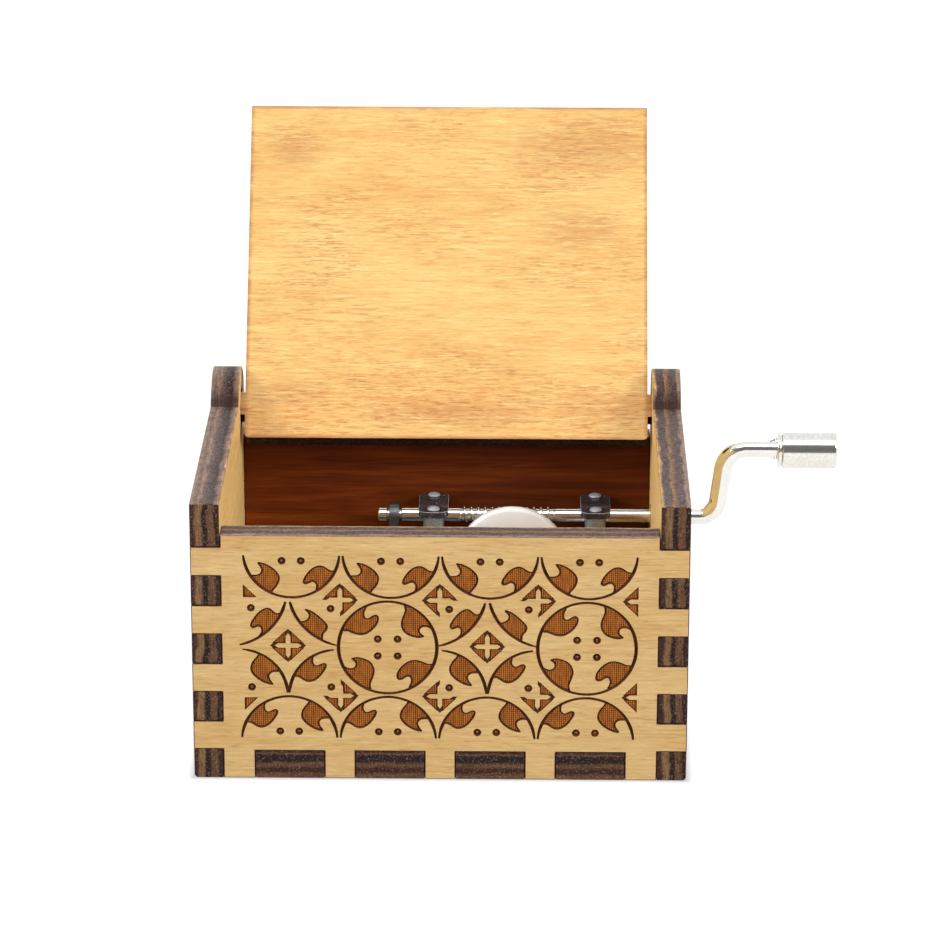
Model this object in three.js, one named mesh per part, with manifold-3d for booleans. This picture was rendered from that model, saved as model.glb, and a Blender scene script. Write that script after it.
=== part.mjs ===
import * as THREE from 'three';
import { mergeVertices } from 'three/addons/utils/BufferGeometryUtils.js';
import Module from 'manifold-3d';

const wasm = await Module();
wasm.setup();

// Hand crank music box: a finger-jointed plywood case with a hinged lid, and inside it an
// 18-note movement whose worm shaft is turned by a bent wire crank through the right wall.
// Millimetres, +Z up, origin on the underside below the middle of the case. The front
// panel faces -Y and the crank sticks out to +X.

// Case
const caseWidth = 64;
const caseDepth = 52;
const ply = 3.8;
const frontHeight = 33.6;
const fingerPitch = 4;
const fingerFit = 0.06;
const floorTabWidth = 8.9;
const floorTabSpace = 4.1;
const overrun = 1;
const weldDistance = 1e-4;

// Lid and its hinge
const hingeFromBack = 6.3;
const earRadius = 6.7;
const earBelowHinge = 1;
const lidSideGap = 0.6;
const lidSeatGap = 0.2;
const sideAboveLid = 0.2;
const lidFrontSetback = 2.5;
const lidBehindPivot = 4.84;
const lidCornerRadius = 0.6;
const lidSwingGap = 0.35;
const pivotTabWidth = 3.2;
const pivotClearance = 0.27;
const lidOpenAngle = THREE.MathUtils.degToRad(124);

// Movement: places of the shaft and the cylinder
const shaftFromBack = 4.4;
const shaftHeight = 20.9;
const cylinderOffsetX = 9.2;
const runningClearance = 0.1;
const seatGap = 0.05;

// Worm shaft and wheel
const shaftRadius = 1.05;
const shaftHeadEnd = -9.4;
const shaftHeadLength = 1.3;
const shaftChamfer = 0.2;
const neckRadius = 0.7;
const neckLength = 1.9;
const wormPitch = 0.96;
const wormLength = 12.2;
const wormOffset = -0.7;
const wormRadius = 1.35;
const wormPitchRadius = 1.275;
const wormCoreRadius = 1;
const threadCrestWidth = 0.22;
const threadRootWidth = 0.44;
const wheelTeeth = 27;
const wheelAddendum = 0.08;
const wheelDedendum = 0.5;
const toothTipWidth = 0.26;
const toothRootWidth = 0.5;
const toothedWidth = 2.8;
const flangeRadius = 7.75;
const flangeThickness = 1.4;
const flangeRound = 0.35;
const flangeAhead = 2.8;
const wheelHubRadius = 3.4;
const wheelBossRadius = 2.2;
const wheelBossLength = 0.9;

// Pinned cylinder, its end discs and arbor
const cylinderRadius = 6.5;
const cylinderWall = 0.5;
const cylinderEndMargin = 0.37;
const pinRadius = 0.17;
const pinHeight = 0.5;
const pinRoot = 0.2;
const endDiscThickness = 1.4;
const endDiscInset = 0.3;
const arborRadius = 0.9;
const arborTail = 1.2;
const arborChamfer = 0.2;

// Comb
const combTeeth = 18;
const toothPitch = 1.03;
const toothSlot = 0.24;
const toothThickness = 0.8;
const tipClearance = 0.15;
const trebleToothLength = 9.6;
const bassToothLength = 13.4;
const combBaseLength = 8.4;
const combBaseThickness = 1.5;
const combMargin = 1.1;
const combCorner = 1;
const weightedTeeth = 8;
const weightLength = 2.4;
const weightHeight = 1.1;

// Bedplate, uprights, pedestals and shaft bearings
const bedLeft = -19.6;
const bedRight = 22.6;
const bedBehindShaft = 3.6;
const bedAheadOfBracket = 2.2;
const bedThickness = 2.9;
const bedCorner = 2.5;
const rearUprightThickness = 2.8;
const uprightGap = 0.6;
const uprightHalfWidth = 3.4;
const uprightTopRadius = 3.2;
const bearingLeftX = -1.7;
const bearingRightX = 20.6;
const pedestalWidth = 2.8;
const pedestalLength = 8;
const capWidth = 4.1;
const capLength = 8.2;
const capThickness = 0.85;
const capCorner = 1.3;
const capAboveShaft = 0.85;
const rivetSpacing = 5.8;
const rivetRadius = 0.6;
const rivetHeadRadius = 0.85;
const rivetHeadHeight = 0.4;
const rivetLength = 4;
const clipWidth = 1.4;
const clipStock = 0.75;

// Screws
const screwRadius = 1;
const screwFit = 0.2;
const screwHeadRadius = 1.9;
const screwHeadHeight = 1.2;
const screwSlotWidth = 0.5;
const screwSlotDepth = 0.5;
const combScrewSpacing = 12.4;
const combScrewDepth = 5;
const bracketScrewSpacing = 6.4;
const bracketThickness = 1.5;
const bracketFootLength = 5.6;
const bracketScrewDepth = 2.2;
const mountScrewRadius = 1.25;
const mountHeadRadius = 2.6;
const mountHeadHeight = 1.5;
const mountHeadRecess = 0.25;
const mountScrewBite = 2.2;
const mountScrewInset = 3.4;

// Crank and knob
const crankRadius = 1.2;
const crankHoleRadius = 1.6;
const couplingInWall = 1.3;
const couplingGap = 0.3;
const spigotRadius = 0.55;
const spigotLength = 3.4;
const crankOutreach = 5.2;
const crankThrow = 9.9;
const crankLean = THREE.MathUtils.degToRad(7);
const lowerBend = 2.5;
const upperBend = 3.4;
const knobReach = 13.42;
const knobLength = 8.08;
const knobRadius = 2.73;
const knobRimRadius = 2.65;
const knobRimWidth = 0.45;
const knobGrooveWidth = 0.16;
const knobGrooveDepth = 0.4;
const knobChamfer = 0.18;
const knobWireClearance = 0.3;
const wireHeadRadius = 1.75;
const wireHeadHeight = 0.7;
const wireHeadInset = 0.3;
const earLength = 1.3;
const earHeight = 0.45;
const earStock = 0.8;
const earGap = 0.25;

// Facets
const arcSegments = 20;
const cornerSegments = 6;
const holeSegments = 32;
const shaftSegments = 20;
const screwSegments = 14;
const drumSegments = 44;
const discSegments = 24;
const threadSteps = 12;
const wireSides = 12;
const wireSteps = 42;
const pinSides = 4;

// Sizes worked out from the ones above
const halfWidth = caseWidth / 2;
const halfDepth = caseDepth / 2;
const innerX = halfWidth - ply;
const innerY = halfDepth - ply;
const sideHeight = frontHeight + lidSeatGap + ply + sideAboveLid;
const hingeY = halfDepth - hingeFromBack;
const hingeZ = frontHeight + lidSeatGap + ply / 2;
const earY = halfDepth - earRadius;
const earZ = hingeZ - earBelowHinge;
const lidHalfWidth = innerX - lidSideGap;
const lidAheadOfPivot = hingeY + halfDepth - lidFrontSetback;
const lidSwing = Math.hypot(lidBehindPivot, ply / 2);
const backHeight = hingeZ - Math.sqrt(lidSwing ** 2 - (innerY - hingeY) ** 2) - lidSwingGap;
const pivotHoleRadius = Math.hypot(pivotTabWidth, ply) / 2 + pivotClearance;
const shaftY = innerY - shaftFromBack;
const wheelPitchRadius = (wheelTeeth * wormPitch) / (2 * Math.PI);
const cylinderZ = shaftHeight - wormPitchRadius - wheelPitchRadius;
const flangeFront = shaftY - toothedWidth / 2 - flangeAhead;
const bossFront = flangeFront - wheelBossLength;
const rearUprightFront = bossFront - couplingGap - rearUprightThickness;
const cylinderLength = combTeeth * toothPitch + 2 * cylinderEndMargin - toothSlot;
const cylinderY = rearUprightFront - uprightGap - cylinderLength / 2;
const bracketFront = cylinderY - cylinderLength / 2 - uprightGap - bracketThickness;
const bracketFootFront = bracketFront + bracketThickness - bracketFootLength;
const pinTipRadius = cylinderRadius + pinHeight;
const bedBottom = ply + seatGap;
const bedTop = bedBottom + bedThickness;
const bedBack = shaftY + bedBehindShaft;
const bedFront = bracketFootFront - bedAheadOfBracket;
const shaftBore = shaftRadius + runningClearance;
const pedestalTop = shaftHeight + capAboveShaft - seatGap;
const capBottom = shaftHeight + capAboveShaft;
const shaftEnd = halfWidth - ply + couplingInWall;
const combTipX = cylinderOffsetX - pinTipRadius - tipClearance;
const combBottom = cylinderZ - toothThickness / 2;

const up = new THREE.Vector3(0, 0, 1);
const right = new THREE.Vector3(1, 0, 0);
const back = new THREE.Vector3(0, 1, 0);
const front = new THREE.Vector3(0, -1, 0);

// Materials
const paint = (color, roughness, metalness, more = {}) =>
  new THREE.MeshStandardMaterial({ color, roughness, metalness, ...more });
const birch = paint(0xd9a860, 0.6, 0);
const lidBirch = paint(0xdc9f4e, 0.55, 0);
const darkBirch = paint(0x4a200c, 0.6, 0);
const zinc = paint(0x9a9c9c, 0.45, 0.9);
const springSteel = paint(0xb9bcbf, 0.3, 1);
const nickel = paint(0xd4d4d2, 0.22, 1);
const darkSteel = paint(0x56585a, 0.4, 0.9);
const brass = paint(0xc9a24a, 0.3, 1);
const nylon = paint(0xf4f4f2, 0.4, 0);
const clearPlastic = paint(0x4a4a4e, 0.15, 0, { transparent: true, opacity: 0.6 });

// Closed geometry with its shared corners merged and its faces pointing out
function weld(geometry) {
  const bare = geometry.clone();
  for (const name of Object.keys(bare.attributes)) {
    if (name !== 'position') bare.deleteAttribute(name);
  }
  const merged = mergeVertices(bare, weldDistance);
  const corners = merged.getIndex().array;
  const faces = [];
  for (let i = 0; i < corners.length; i += 3) {
    const [a, b, c] = corners.slice(i, i + 3);
    if (a !== b && b !== c && c !== a) faces.push(a, b, c);
  }
  merged.setIndex(volumeOf(merged, faces) < 0 ? faces.reverse() : faces);
  return merged;
}

function volumeOf(geometry, faces) {
  const corner = (i) => new THREE.Vector3().fromBufferAttribute(geometry.attributes.position, i);
  let volume = 0;
  for (let i = 0; i < faces.length; i += 3) {
    const [a, b, c] = [corner(faces[i]), corner(faces[i + 1]), corner(faces[i + 2])];
    volume += a.dot(b.cross(c)) / 6;
  }
  return volume;
}

function toSolid(geometry) {
  const welded = weld(geometry);
  const vertProperties = new Float32Array(welded.attributes.position.array);
  const triVerts = new Uint32Array(welded.getIndex().array);
  return new wasm.Manifold(new wasm.Mesh({ numProp: 3, vertProperties, triVerts }));
}

function toGeometry(solid) {
  const mesh = solid.getMesh();
  const geometry = new THREE.BufferGeometry();
  geometry.setAttribute('position', new THREE.BufferAttribute(mesh.vertProperties, 3));
  geometry.setIndex(new THREE.BufferAttribute(mesh.triVerts, 1));
  return geometry;
}

function carve(base, cuts) {
  return toGeometry(cuts.reduce((solid, cut) => solid.subtract(toSolid(cut)), toSolid(base)));
}

function join(pieces, cuts = []) {
  const whole = pieces.map(toSolid).reduce((sum, piece) => sum.add(piece));
  return toGeometry(cuts.reduce((solid, cut) => solid.subtract(toSolid(cut)), whole));
}

// Box between two opposite corners
function block(low, high) {
  const size = high.map((value, i) => value - low[i]);
  const middle = high.map((value, i) => (value + low[i]) / 2);
  return new THREE.BoxGeometry(...size).translate(...middle);
}

// Flat plate: an outline pushed up from a level along Z
function plate(outline, bottom, thickness, segments = arcSegments) {
  const settings = { depth: thickness, bevelEnabled: false, curveSegments: segments / 2 };
  return new THREE.ExtrudeGeometry(outline, settings).translate(0, 0, bottom);
}

// Plate standing across X, its outline drawn in Y and Z
function crossPlate(outline, start, thickness) {
  const turned = new THREE.Matrix4().makeBasis(back, up, right);
  return plate(outline, 0, thickness).applyMatrix4(turned).translate(start, 0, 0);
}

// Plate standing across Y, its outline drawn in X and Z
function facingPlate(outline, start, thickness) {
  const turned = new THREE.Matrix4().makeBasis(right, up, front);
  return plate(outline, 0, thickness).applyMatrix4(turned).translate(0, start + thickness, 0);
}

// Turned piece: [radius, height] pairs spun about an axis through the given point
function turned(profile, axis, at, segments = shaftSegments) {
  const points = profile.map(([radius, height]) => new THREE.Vector2(radius, height));
  const spin = new THREE.Quaternion().setFromUnitVectors(back, axis);
  return new THREE.LatheGeometry(points, segments).applyQuaternion(spin).translate(...at);
}

function rod(radius, start, end, axis, at, segments = shaftSegments) {
  return turned([[0, start], [radius, start], [radius, end], [0, end]], axis, at, segments);
}

function roundedRect(x0, y0, x1, y1, radius) {
  const outline = new THREE.Shape();
  outline.moveTo(x0 + radius, y0);
  outline.absarc(x1 - radius, y0 + radius, radius, -Math.PI / 2, 0);
  outline.absarc(x1 - radius, y1 - radius, radius, 0, Math.PI / 2);
  outline.absarc(x0 + radius, y1 - radius, radius, Math.PI / 2, Math.PI);
  outline.absarc(x0 + radius, y0 + radius, radius, Math.PI, 1.5 * Math.PI);
  return outline;
}

function roundedPlate(x0, y0, x1, y1, radius, bottom, thickness) {
  return plate(roundedRect(x0, y0, x1, y1, radius), bottom, thickness, cornerSegments);
}

const box = new THREE.Group();

function piece(name, geometry, material, parent = box) {
  const mesh = new THREE.Mesh(weld(geometry), material);
  mesh.name = name;
  parent.add(mesh);
  return mesh;
}

// Heights of the front panel's fingers, between those of the side panels
function fingerSpans(panelHeight) {
  const spans = [];
  for (let z = fingerPitch; z + fingerPitch <= panelHeight; z += 2 * fingerPitch) {
    spans.push([z, z + fingerPitch]);
  }
  return spans;
}

// Tabs of the floor along one side, as many as fit between two walls, as [start, end] pairs
function tabSpans(room) {
  const step = floorTabWidth + floorTabSpace;
  const count = Math.floor((room + floorTabSpace) / step);
  const first = (-(count - 1) * step - floorTabWidth) / 2;
  return Array.from({ length: count }, (_, i) => [first + i * step, first + i * step + floorTabWidth]);
}

function facingPanel(name, panelHeight, outerSide, material) {
  const inner = outerSide * innerY;
  const start = Math.min(inner, outerSide * halfDepth);
  const [low, high] = [start - overrun, start + ply + overrun];
  const blank = block([-halfWidth, start, 0], [halfWidth, start + ply, panelHeight]);
  const cuts = [];
  let from = -overrun;
  for (const [bottom, top] of [...fingerSpans(panelHeight), [panelHeight + overrun, 0]]) {
    const to = Math.min(bottom + fingerFit / 2, panelHeight + overrun);
    cuts.push(block([-halfWidth - overrun, low, from], [-innerX + fingerFit, high, to]));
    cuts.push(block([innerX - fingerFit, low, from], [halfWidth + overrun, high, to]));
    from = top - fingerFit / 2;
  }
  for (const [x0, x1] of tabSpans(2 * innerX)) {
    cuts.push(block([x0 - fingerFit, low, -overrun], [x1 + fingerFit, high, ply + fingerFit]));
  }
  piece(name, carve(blank, cuts), material);
}

function sidePanel(name, outerSide, moreCuts = []) {
  const start = Math.min(outerSide * innerX, outerSide * halfWidth);
  const [low, high] = [start - overrun, start + ply + overrun];
  const earFoot = Math.PI - Math.asin((sideHeight - earZ) / earRadius);
  const outline = new THREE.Shape();
  outline.moveTo(-halfDepth, 0);
  outline.lineTo(halfDepth, 0);
  outline.absarc(earY, earZ, earRadius, 0, earFoot);
  outline.lineTo(-halfDepth, sideHeight);
  const cuts = [rod(pivotHoleRadius, low, high, right, [0, hingeY, hingeZ], holeSegments), ...moreCuts];
  for (const [end, panelHeight] of [[-1, frontHeight], [1, backHeight]]) {
    const [y0, y1] = [end * (innerY - fingerFit), end * (halfDepth + overrun)].sort((a, b) => a - b);
    for (const [z0, z1] of fingerSpans(panelHeight)) {
      cuts.push(block([low, y0, z0 - fingerFit / 2], [high, y1, z1 + fingerFit / 2]));
    }
  }
  for (const [y0, y1] of tabSpans(2 * innerY)) {
    cuts.push(block([low, y0 - fingerFit, -overrun], [high, y1 + fingerFit, ply + fingerFit]));
  }
  piece(name, carve(crossPlate(outline, start, ply), cuts), birch);
}

// Places of the three wood screws that hold the bedplate down
const mountScrewPlaces = [
  [bedLeft + mountScrewInset, bedFront + mountScrewInset],
  [bedLeft + mountScrewInset, bedBack - mountScrewInset],
  [bedRight - mountScrewInset, (bedFront + bedBack) / 2],
];

function mountScrewProfile(clearance) {
  const bottom = clearance > 0 ? -overrun : mountHeadRecess;
  const headTop = mountHeadRecess + mountHeadHeight;
  return [
    [0, bottom],
    [mountHeadRadius + clearance, bottom],
    [mountHeadRadius + clearance, mountHeadRecess],
    [mountScrewRadius + clearance, headTop],
    [mountScrewRadius + clearance, bedBottom + mountScrewBite + clearance],
    [0, bedBottom + mountScrewBite + clearance],
  ].filter(([, height], i) => i !== 2 || height > bottom);
}

function makeFloor() {
  const x = innerX - fingerFit;
  const y = innerY - fingerFit;
  const parts = [block([-x, -y, 0], [x, y, ply])];
  for (const [x0, x1] of tabSpans(2 * innerX)) {
    parts.push(block([x0, -halfDepth, 0], [x1, halfDepth, ply]));
  }
  for (const [y0, y1] of tabSpans(2 * innerY)) {
    parts.push(block([-halfWidth, y0, 0], [halfWidth, y1, ply]));
  }
  const holes = mountScrewPlaces.map(([sx, sy]) =>
    turned(mountScrewProfile(screwFit), up, [sx, sy, 0], screwSegments));
  piece('bottom_panel', join(parts, holes), birch);
}

function makeCase() {
  facingPanel('front_panel', frontHeight, -1, birch);
  facingPanel('back_panel', backHeight, 1, darkBirch);
  sidePanel('left_panel', -1);
  const crankAxis = [0, shaftY, shaftHeight];
  const crankHole = rod(crankHoleRadius, innerX - overrun, halfWidth + overrun, right, crankAxis, holeSegments);
  sidePanel('right_panel', 1, [crankHole]);
  makeFloor();
}

// The lid turns on two square tabs of its own wood, and stands open
function makeLid() {
  const [w, r, t] = [lidHalfWidth, lidCornerRadius, pivotTabWidth / 2];
  const outline = new THREE.Shape();
  outline.moveTo(-w, -lidAheadOfPivot);
  outline.lineTo(w, -lidAheadOfPivot);
  outline.lineTo(w, -t);
  outline.lineTo(halfWidth, -t);
  outline.lineTo(halfWidth, t);
  outline.lineTo(w, t);
  outline.absarc(w - r, lidBehindPivot - r, r, 0, Math.PI / 2);
  outline.absarc(-w + r, lidBehindPivot - r, r, Math.PI / 2, Math.PI);
  outline.lineTo(-w, t);
  outline.lineTo(-halfWidth, t);
  outline.lineTo(-halfWidth, -t);
  outline.lineTo(-w, -t);
  const hinge = new THREE.Group();
  hinge.position.set(0, hingeY, hingeZ);
  hinge.rotation.x = -lidOpenAngle;
  piece('lid', plate(outline, -ply / 2, ply), lidBirch, hinge);
  box.add(hinge);
}

// Upright with a round top over the arbor, drawn in X and Z
function uprightOutline(foot) {
  const x = cylinderOffsetX;
  const outline = new THREE.Shape();
  outline.moveTo(x - uprightHalfWidth, foot);
  outline.lineTo(x + uprightHalfWidth, foot);
  outline.absarc(x, cylinderZ, uprightTopRadius, 0, Math.PI);
  return outline;
}

const bearings = [['left', bearingLeftX], ['right', bearingRightX]];
const rivetSides = [['front', -rivetSpacing / 2], ['rear', rivetSpacing / 2]];
const combScrewX = combTipX - bassToothLength - combBaseLength / 2;
const combScrewYs = [cylinderY - combScrewSpacing / 2, cylinderY + combScrewSpacing / 2];
const bracketScrewY = bracketFront - (bracketFootLength - bracketThickness) / 2;
const bracketScrewXs = [cylinderOffsetX - bracketScrewSpacing / 2, cylinderOffsetX + bracketScrewSpacing / 2];

// Hole for a screw, from a level down to a depth
function screwBore(at, level, depth) {
  return rod(screwRadius + screwFit, level - depth, level + overrun, up, at, screwSegments);
}

function makeBedplate() {
  const parts = [roundedPlate(bedLeft, bedFront, bedRight, bedBack, bedCorner, bedBottom, bedThickness)];
  const cuts = [];
  const combHalf = (combTeeth * toothPitch) / 2 + combMargin;
  const combBack = combTipX - bassToothLength - combBaseLength;
  const [restFront, restBack] = [cylinderY - combHalf, cylinderY + combHalf];
  const restHeight = combBottom - seatGap - bedBottom;
  parts.push(roundedPlate(combBack, restFront, combBack + combBaseLength, restBack, combCorner, bedBottom, restHeight));
  parts.push(facingPlate(uprightOutline(bedBottom), rearUprightFront, rearUprightThickness));
  const arborHole = arborRadius + runningClearance;
  cuts.push(rod(arborHole, bedFront, bedBack, back, [cylinderOffsetX, 0, cylinderZ]));
  for (const [, x] of bearings) {
    const [hw, hl] = [pedestalWidth / 2, pedestalLength / 2];
    const round = hw - runningClearance;
    parts.push(roundedPlate(x - hw, shaftY - hl, x + hw, shaftY + hl, round, bedBottom, pedestalTop - bedBottom));
    for (const [, y] of rivetSides) {
      const hole = rivetRadius + runningClearance;
      const at = [x, shaftY + y, 0];
      cuts.push(rod(hole, pedestalTop - rivetLength, pedestalTop + overrun, up, at, screwSegments));
    }
    const [slotFront, slotBack] = [shaftY - shaftBore, shaftY + shaftBore];
    cuts.push(block([x - hw - overrun, slotFront, shaftHeight], [x + hw + overrun, slotBack, pedestalTop + overrun]));
  }
  cuts.push(rod(shaftBore, bedLeft, bedRight, right, [0, shaftY, shaftHeight], holeSegments));
  for (const y of combScrewYs) cuts.push(screwBore([combScrewX, y, 0], combBottom, combScrewDepth));
  for (const x of bracketScrewXs) cuts.push(screwBore([x, bracketScrewY, 0], bedTop, bracketScrewDepth + seatGap));
  for (const [x, y] of mountScrewPlaces) {
    const bite = bedBottom + mountScrewBite + screwFit;
    cuts.push(rod(mountScrewRadius + screwFit, bedBottom - overrun, bite, up, [x, y, 0], screwSegments));
  }
  piece('bedplate', join(parts, cuts), zinc);
}

// Front bearing of the arbor: a bent steel bracket screwed to the bedplate
function makeBracket() {
  const foot = bedTop + seatGap;
  const x = cylinderOffsetX;
  const low = [x - uprightHalfWidth - screwHeadRadius, bracketFootFront, foot];
  const high = [x + uprightHalfWidth + screwHeadRadius, bracketFront + bracketThickness, foot + bracketThickness];
  const cuts = [rod(arborRadius + runningClearance, bedFront, bedBack, back, [x, 0, cylinderZ])];
  for (const screwX of bracketScrewXs) {
    cuts.push(screwBore([screwX, bracketScrewY, 0], foot + bracketThickness, bracketThickness + overrun));
  }
  const upright = facingPlate(uprightOutline(foot), bracketFront, bracketThickness);
  piece('cylinder_bracket', join([block(low, high), upright], cuts), springSteel);
}

// Slotted pan-head screw standing on a level
function slottedScrew(name, x, y, level, depth, material) {
  const headTop = level + seatGap + screwHeadHeight;
  const profile = [
    [0, level - depth],
    [screwRadius, level - depth],
    [screwRadius, level + seatGap],
    [screwHeadRadius, level + seatGap],
    [screwHeadRadius, headTop - screwHeadHeight / 3],
    [screwHeadRadius - screwHeadHeight / 3, headTop],
    [0, headTop],
  ];
  const reach = screwHeadRadius + overrun;
  const slot = block(
    [x - reach, y - screwSlotWidth / 2, headTop - screwSlotDepth],
    [x + reach, y + screwSlotWidth / 2, headTop + overrun],
  );
  piece(name, carve(turned(profile, up, [x, y, 0], screwSegments), [slot]), material);
}

function makeScrews() {
  const combTop = combBottom + combBaseThickness;
  const combScrewBite = combBaseThickness + combScrewDepth - seatGap * 2;
  combScrewYs.forEach((y, i) =>
    slottedScrew(`comb_screw_${i + 1}`, combScrewX, y, combTop, combScrewBite, nickel));
  const footTop = bedTop + seatGap + bracketThickness;
  bracketScrewXs.forEach((x, i) =>
    slottedScrew(`bracket_screw_${i + 1}`, x, bracketScrewY, footTop, bracketThickness + bracketScrewDepth - seatGap, nickel));
  mountScrewPlaces.forEach(([x, y], i) =>
    piece(`mounting_screw_${i + 1}`, turned(mountScrewProfile(0), up, [x, y, 0], screwSegments), darkSteel));
}

// Steel comb: 18 teeth cut from one plate, the low notes longer and weighted underneath
function makeComb() {
  const tip = combTipX;
  const rootX = tip - bassToothLength;
  const firstY = cylinderY - (combTeeth * toothPitch) / 2;
  const lengthAt = (i) => THREE.MathUtils.lerp(bassToothLength, trebleToothLength, i / (combTeeth - 1));
  const outline = new THREE.Shape();
  outline.moveTo(rootX - overrun, firstY);
  const weights = [];
  for (let i = 0; i < combTeeth; i += 1) {
    const y0 = firstY + i * toothPitch + toothSlot / 2;
    const y1 = y0 + toothPitch - toothSlot;
    const root = tip - lengthAt(i);
    [[root, y0], [tip, y0], [tip, y1], [root, y1]].forEach(([x, y]) => outline.lineTo(x, y));
    if (i < weightedTeeth) {
      const drop = weightHeight * (1 - i / (weightedTeeth + 1));
      weights.push(block([tip - 2 * weightLength, y0, combBottom - drop], [tip - weightLength, y1, combBottom + seatGap]));
    }
  }
  outline.lineTo(rootX - overrun, firstY + combTeeth * toothPitch);
  const half = (combTeeth * toothPitch) / 2 + combMargin;
  const [baseFront, baseBack] = [cylinderY - half, cylinderY + half];
  const rootWedge = new THREE.Shape();
  rootWedge.moveTo(rootX - overrun, firstY);
  rootWedge.lineTo(rootX, firstY);
  rootWedge.lineTo(tip - trebleToothLength, firstY + combTeeth * toothPitch);
  rootWedge.lineTo(rootX - overrun, firstY + combTeeth * toothPitch);
  const holes = combScrewYs.map((y) =>
    screwBore([combScrewX, y, 0], combBottom + combBaseThickness, combBaseThickness + overrun));
  const parts = [
    roundedPlate(rootX - combBaseLength, baseFront, rootX, baseBack, combCorner, combBottom, combBaseThickness),
    plate(rootWedge, combBottom, toothThickness),
    plate(outline, combBottom, toothThickness),
    ...weights,
  ];
  piece('comb', join(parts, holes), springSteel);
}

// Worm thread: a trapezoid swept along a right-hand helix about X
function threadGeometry(startX) {
  const turns = wormLength / wormPitch;
  const steps = Math.round(turns * threadSteps);
  const foot = wormCoreRadius - runningClearance;
  const section = [
    [-threadRootWidth / 2, foot],
    [-threadCrestWidth / 2, wormRadius],
    [threadCrestWidth / 2, wormRadius],
    [threadRootWidth / 2, foot],
  ];
  // A thread gap stands over the wheel's top tooth, so the thread starts half a pitch off it
  const gapX = cylinderOffsetX - wormPitch / 2;
  const phase = -Math.PI / 2 + (2 * Math.PI * (startX - gapX)) / wormPitch;
  const points = [];
  for (let k = 0; k <= steps; k += 1) {
    const angle = phase + (2 * Math.PI * k) / threadSteps;
    const x = startX + (wormPitch * k) / threadSteps;
    for (const [dx, radius] of section) {
      points.push(x + dx, shaftY + radius * Math.cos(angle), shaftHeight + radius * Math.sin(angle));
    }
  }
  const faces = [];
  const n = section.length;
  for (let k = 0; k < steps; k += 1) {
    for (let j = 0; j < n; j += 1) {
      const [a, b] = [k * n + j, k * n + ((j + 1) % n)];
      faces.push(a, a + n, b, b, a + n, b + n);
    }
  }
  const last = steps * n;
  faces.push(0, 1, 2, 0, 2, 3, last, last + 2, last + 1, last, last + 3, last + 2);
  const geometry = new THREE.BufferGeometry();
  geometry.setAttribute('position', new THREE.Float32BufferAttribute(points, 3));
  geometry.setIndex(faces);
  return geometry;
}

function makeWormShaft() {
  const wormStart = cylinderOffsetX + wormOffset - wormLength / 2;
  const neckStart = shaftHeadEnd + shaftHeadLength;
  const leftEnd = [
    [0, shaftHeadEnd],
    [shaftRadius - shaftChamfer, shaftHeadEnd],
    [shaftRadius, shaftHeadEnd + shaftChamfer],
    [shaftRadius, neckStart],
    [neckRadius, neckStart],
    [neckRadius, neckStart + neckLength],
    [shaftRadius, neckStart + neckLength],
    [shaftRadius, wormStart - threadRootWidth],
    [0, wormStart - threadRootWidth],
  ];
  const axis = [0, shaftY, shaftHeight];
  const rightStart = wormStart + wormLength + threadRootWidth;
  const core = rod(wormCoreRadius, wormStart - wormPitch, rightStart + wormPitch, right, axis, threadSteps);
  const rightEnd = rod(shaftRadius, rightStart, shaftEnd, right, axis);
  const boreRadius = spigotRadius + screwFit;
  const bore = rod(boreRadius, shaftEnd - spigotLength, shaftEnd + overrun, right, axis, screwSegments);
  const pieces = [turned(leftEnd, right, axis), core, rightEnd, threadGeometry(wormStart)];
  piece('worm_shaft', join(pieces, [bore]), nickel);
}

// The wheel's teeth, drawn about its own axis, with one tooth at the top
function toothedOutline() {
  const tip = wheelPitchRadius + wheelAddendum;
  const root = wheelPitchRadius - wheelDedendum;
  const step = (2 * Math.PI) / wheelTeeth;
  const outline = new THREE.Shape();
  const put = (radius, angle, first) => {
    const place = [radius * Math.cos(angle), radius * Math.sin(angle)];
    if (first) outline.moveTo(...place);
    else outline.lineTo(...place);
  };
  for (let i = 0; i < wheelTeeth; i += 1) {
    const middle = Math.PI / 2 + i * step;
    const [rootHalf, tipHalf] = [toothRootWidth / 2 / root, toothTipWidth / 2 / tip];
    put(root, middle - rootHalf, i === 0);
    put(tip, middle - tipHalf, false);
    put(tip, middle + tipHalf, false);
    put(root, middle + rootHalf, false);
  }
  return outline;
}

function makeWheel() {
  const toothFront = shaftY - toothedWidth / 2;
  const flangeBack = flangeFront + flangeThickness;
  const profile = [
    [0, bossFront],
    [wheelBossRadius, bossFront],
    [wheelBossRadius, flangeFront],
    [flangeRadius - flangeRound, flangeFront],
    [flangeRadius, flangeFront + flangeRound],
    [flangeRadius, flangeBack - flangeRound],
    [flangeRadius - flangeRound, flangeBack],
    [wheelHubRadius, flangeBack],
    [wheelHubRadius, toothFront + toothedWidth],
    [0, toothFront + toothedWidth],
  ];
  const at = [cylinderOffsetX, 0, cylinderZ];
  const disc = turned(profile, back, at, drumSegments);
  const teeth = facingPlate(toothedOutline(), toothFront, toothedWidth).translate(at[0], 0, at[2]);
  const bore = rod(arborRadius + runningClearance, bossFront - overrun, shaftY + flangeRadius, back, at);
  piece('worm_wheel', join([disc, teeth], [bore]), nylon);
}

// Tune: the pins follow a repeating figure round the cylinder, one beat to each angle
const beatsPerTurn = 96;
const figureStride = 7;
const phraseBeats = 5;
const phraseShift = 3;
const restEvery = 16;

function pinPlaces() {
  const places = [];
  for (let beat = 0; beat < beatsPerTurn; beat += 1) {
    const tooth = (beat * figureStride + Math.floor(beat / phraseBeats) * phraseShift) % combTeeth;
    if (beat % restEvery !== restEvery - 1) places.push([tooth, (2 * Math.PI * beat) / beatsPerTurn]);
  }
  return places;
}

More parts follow.
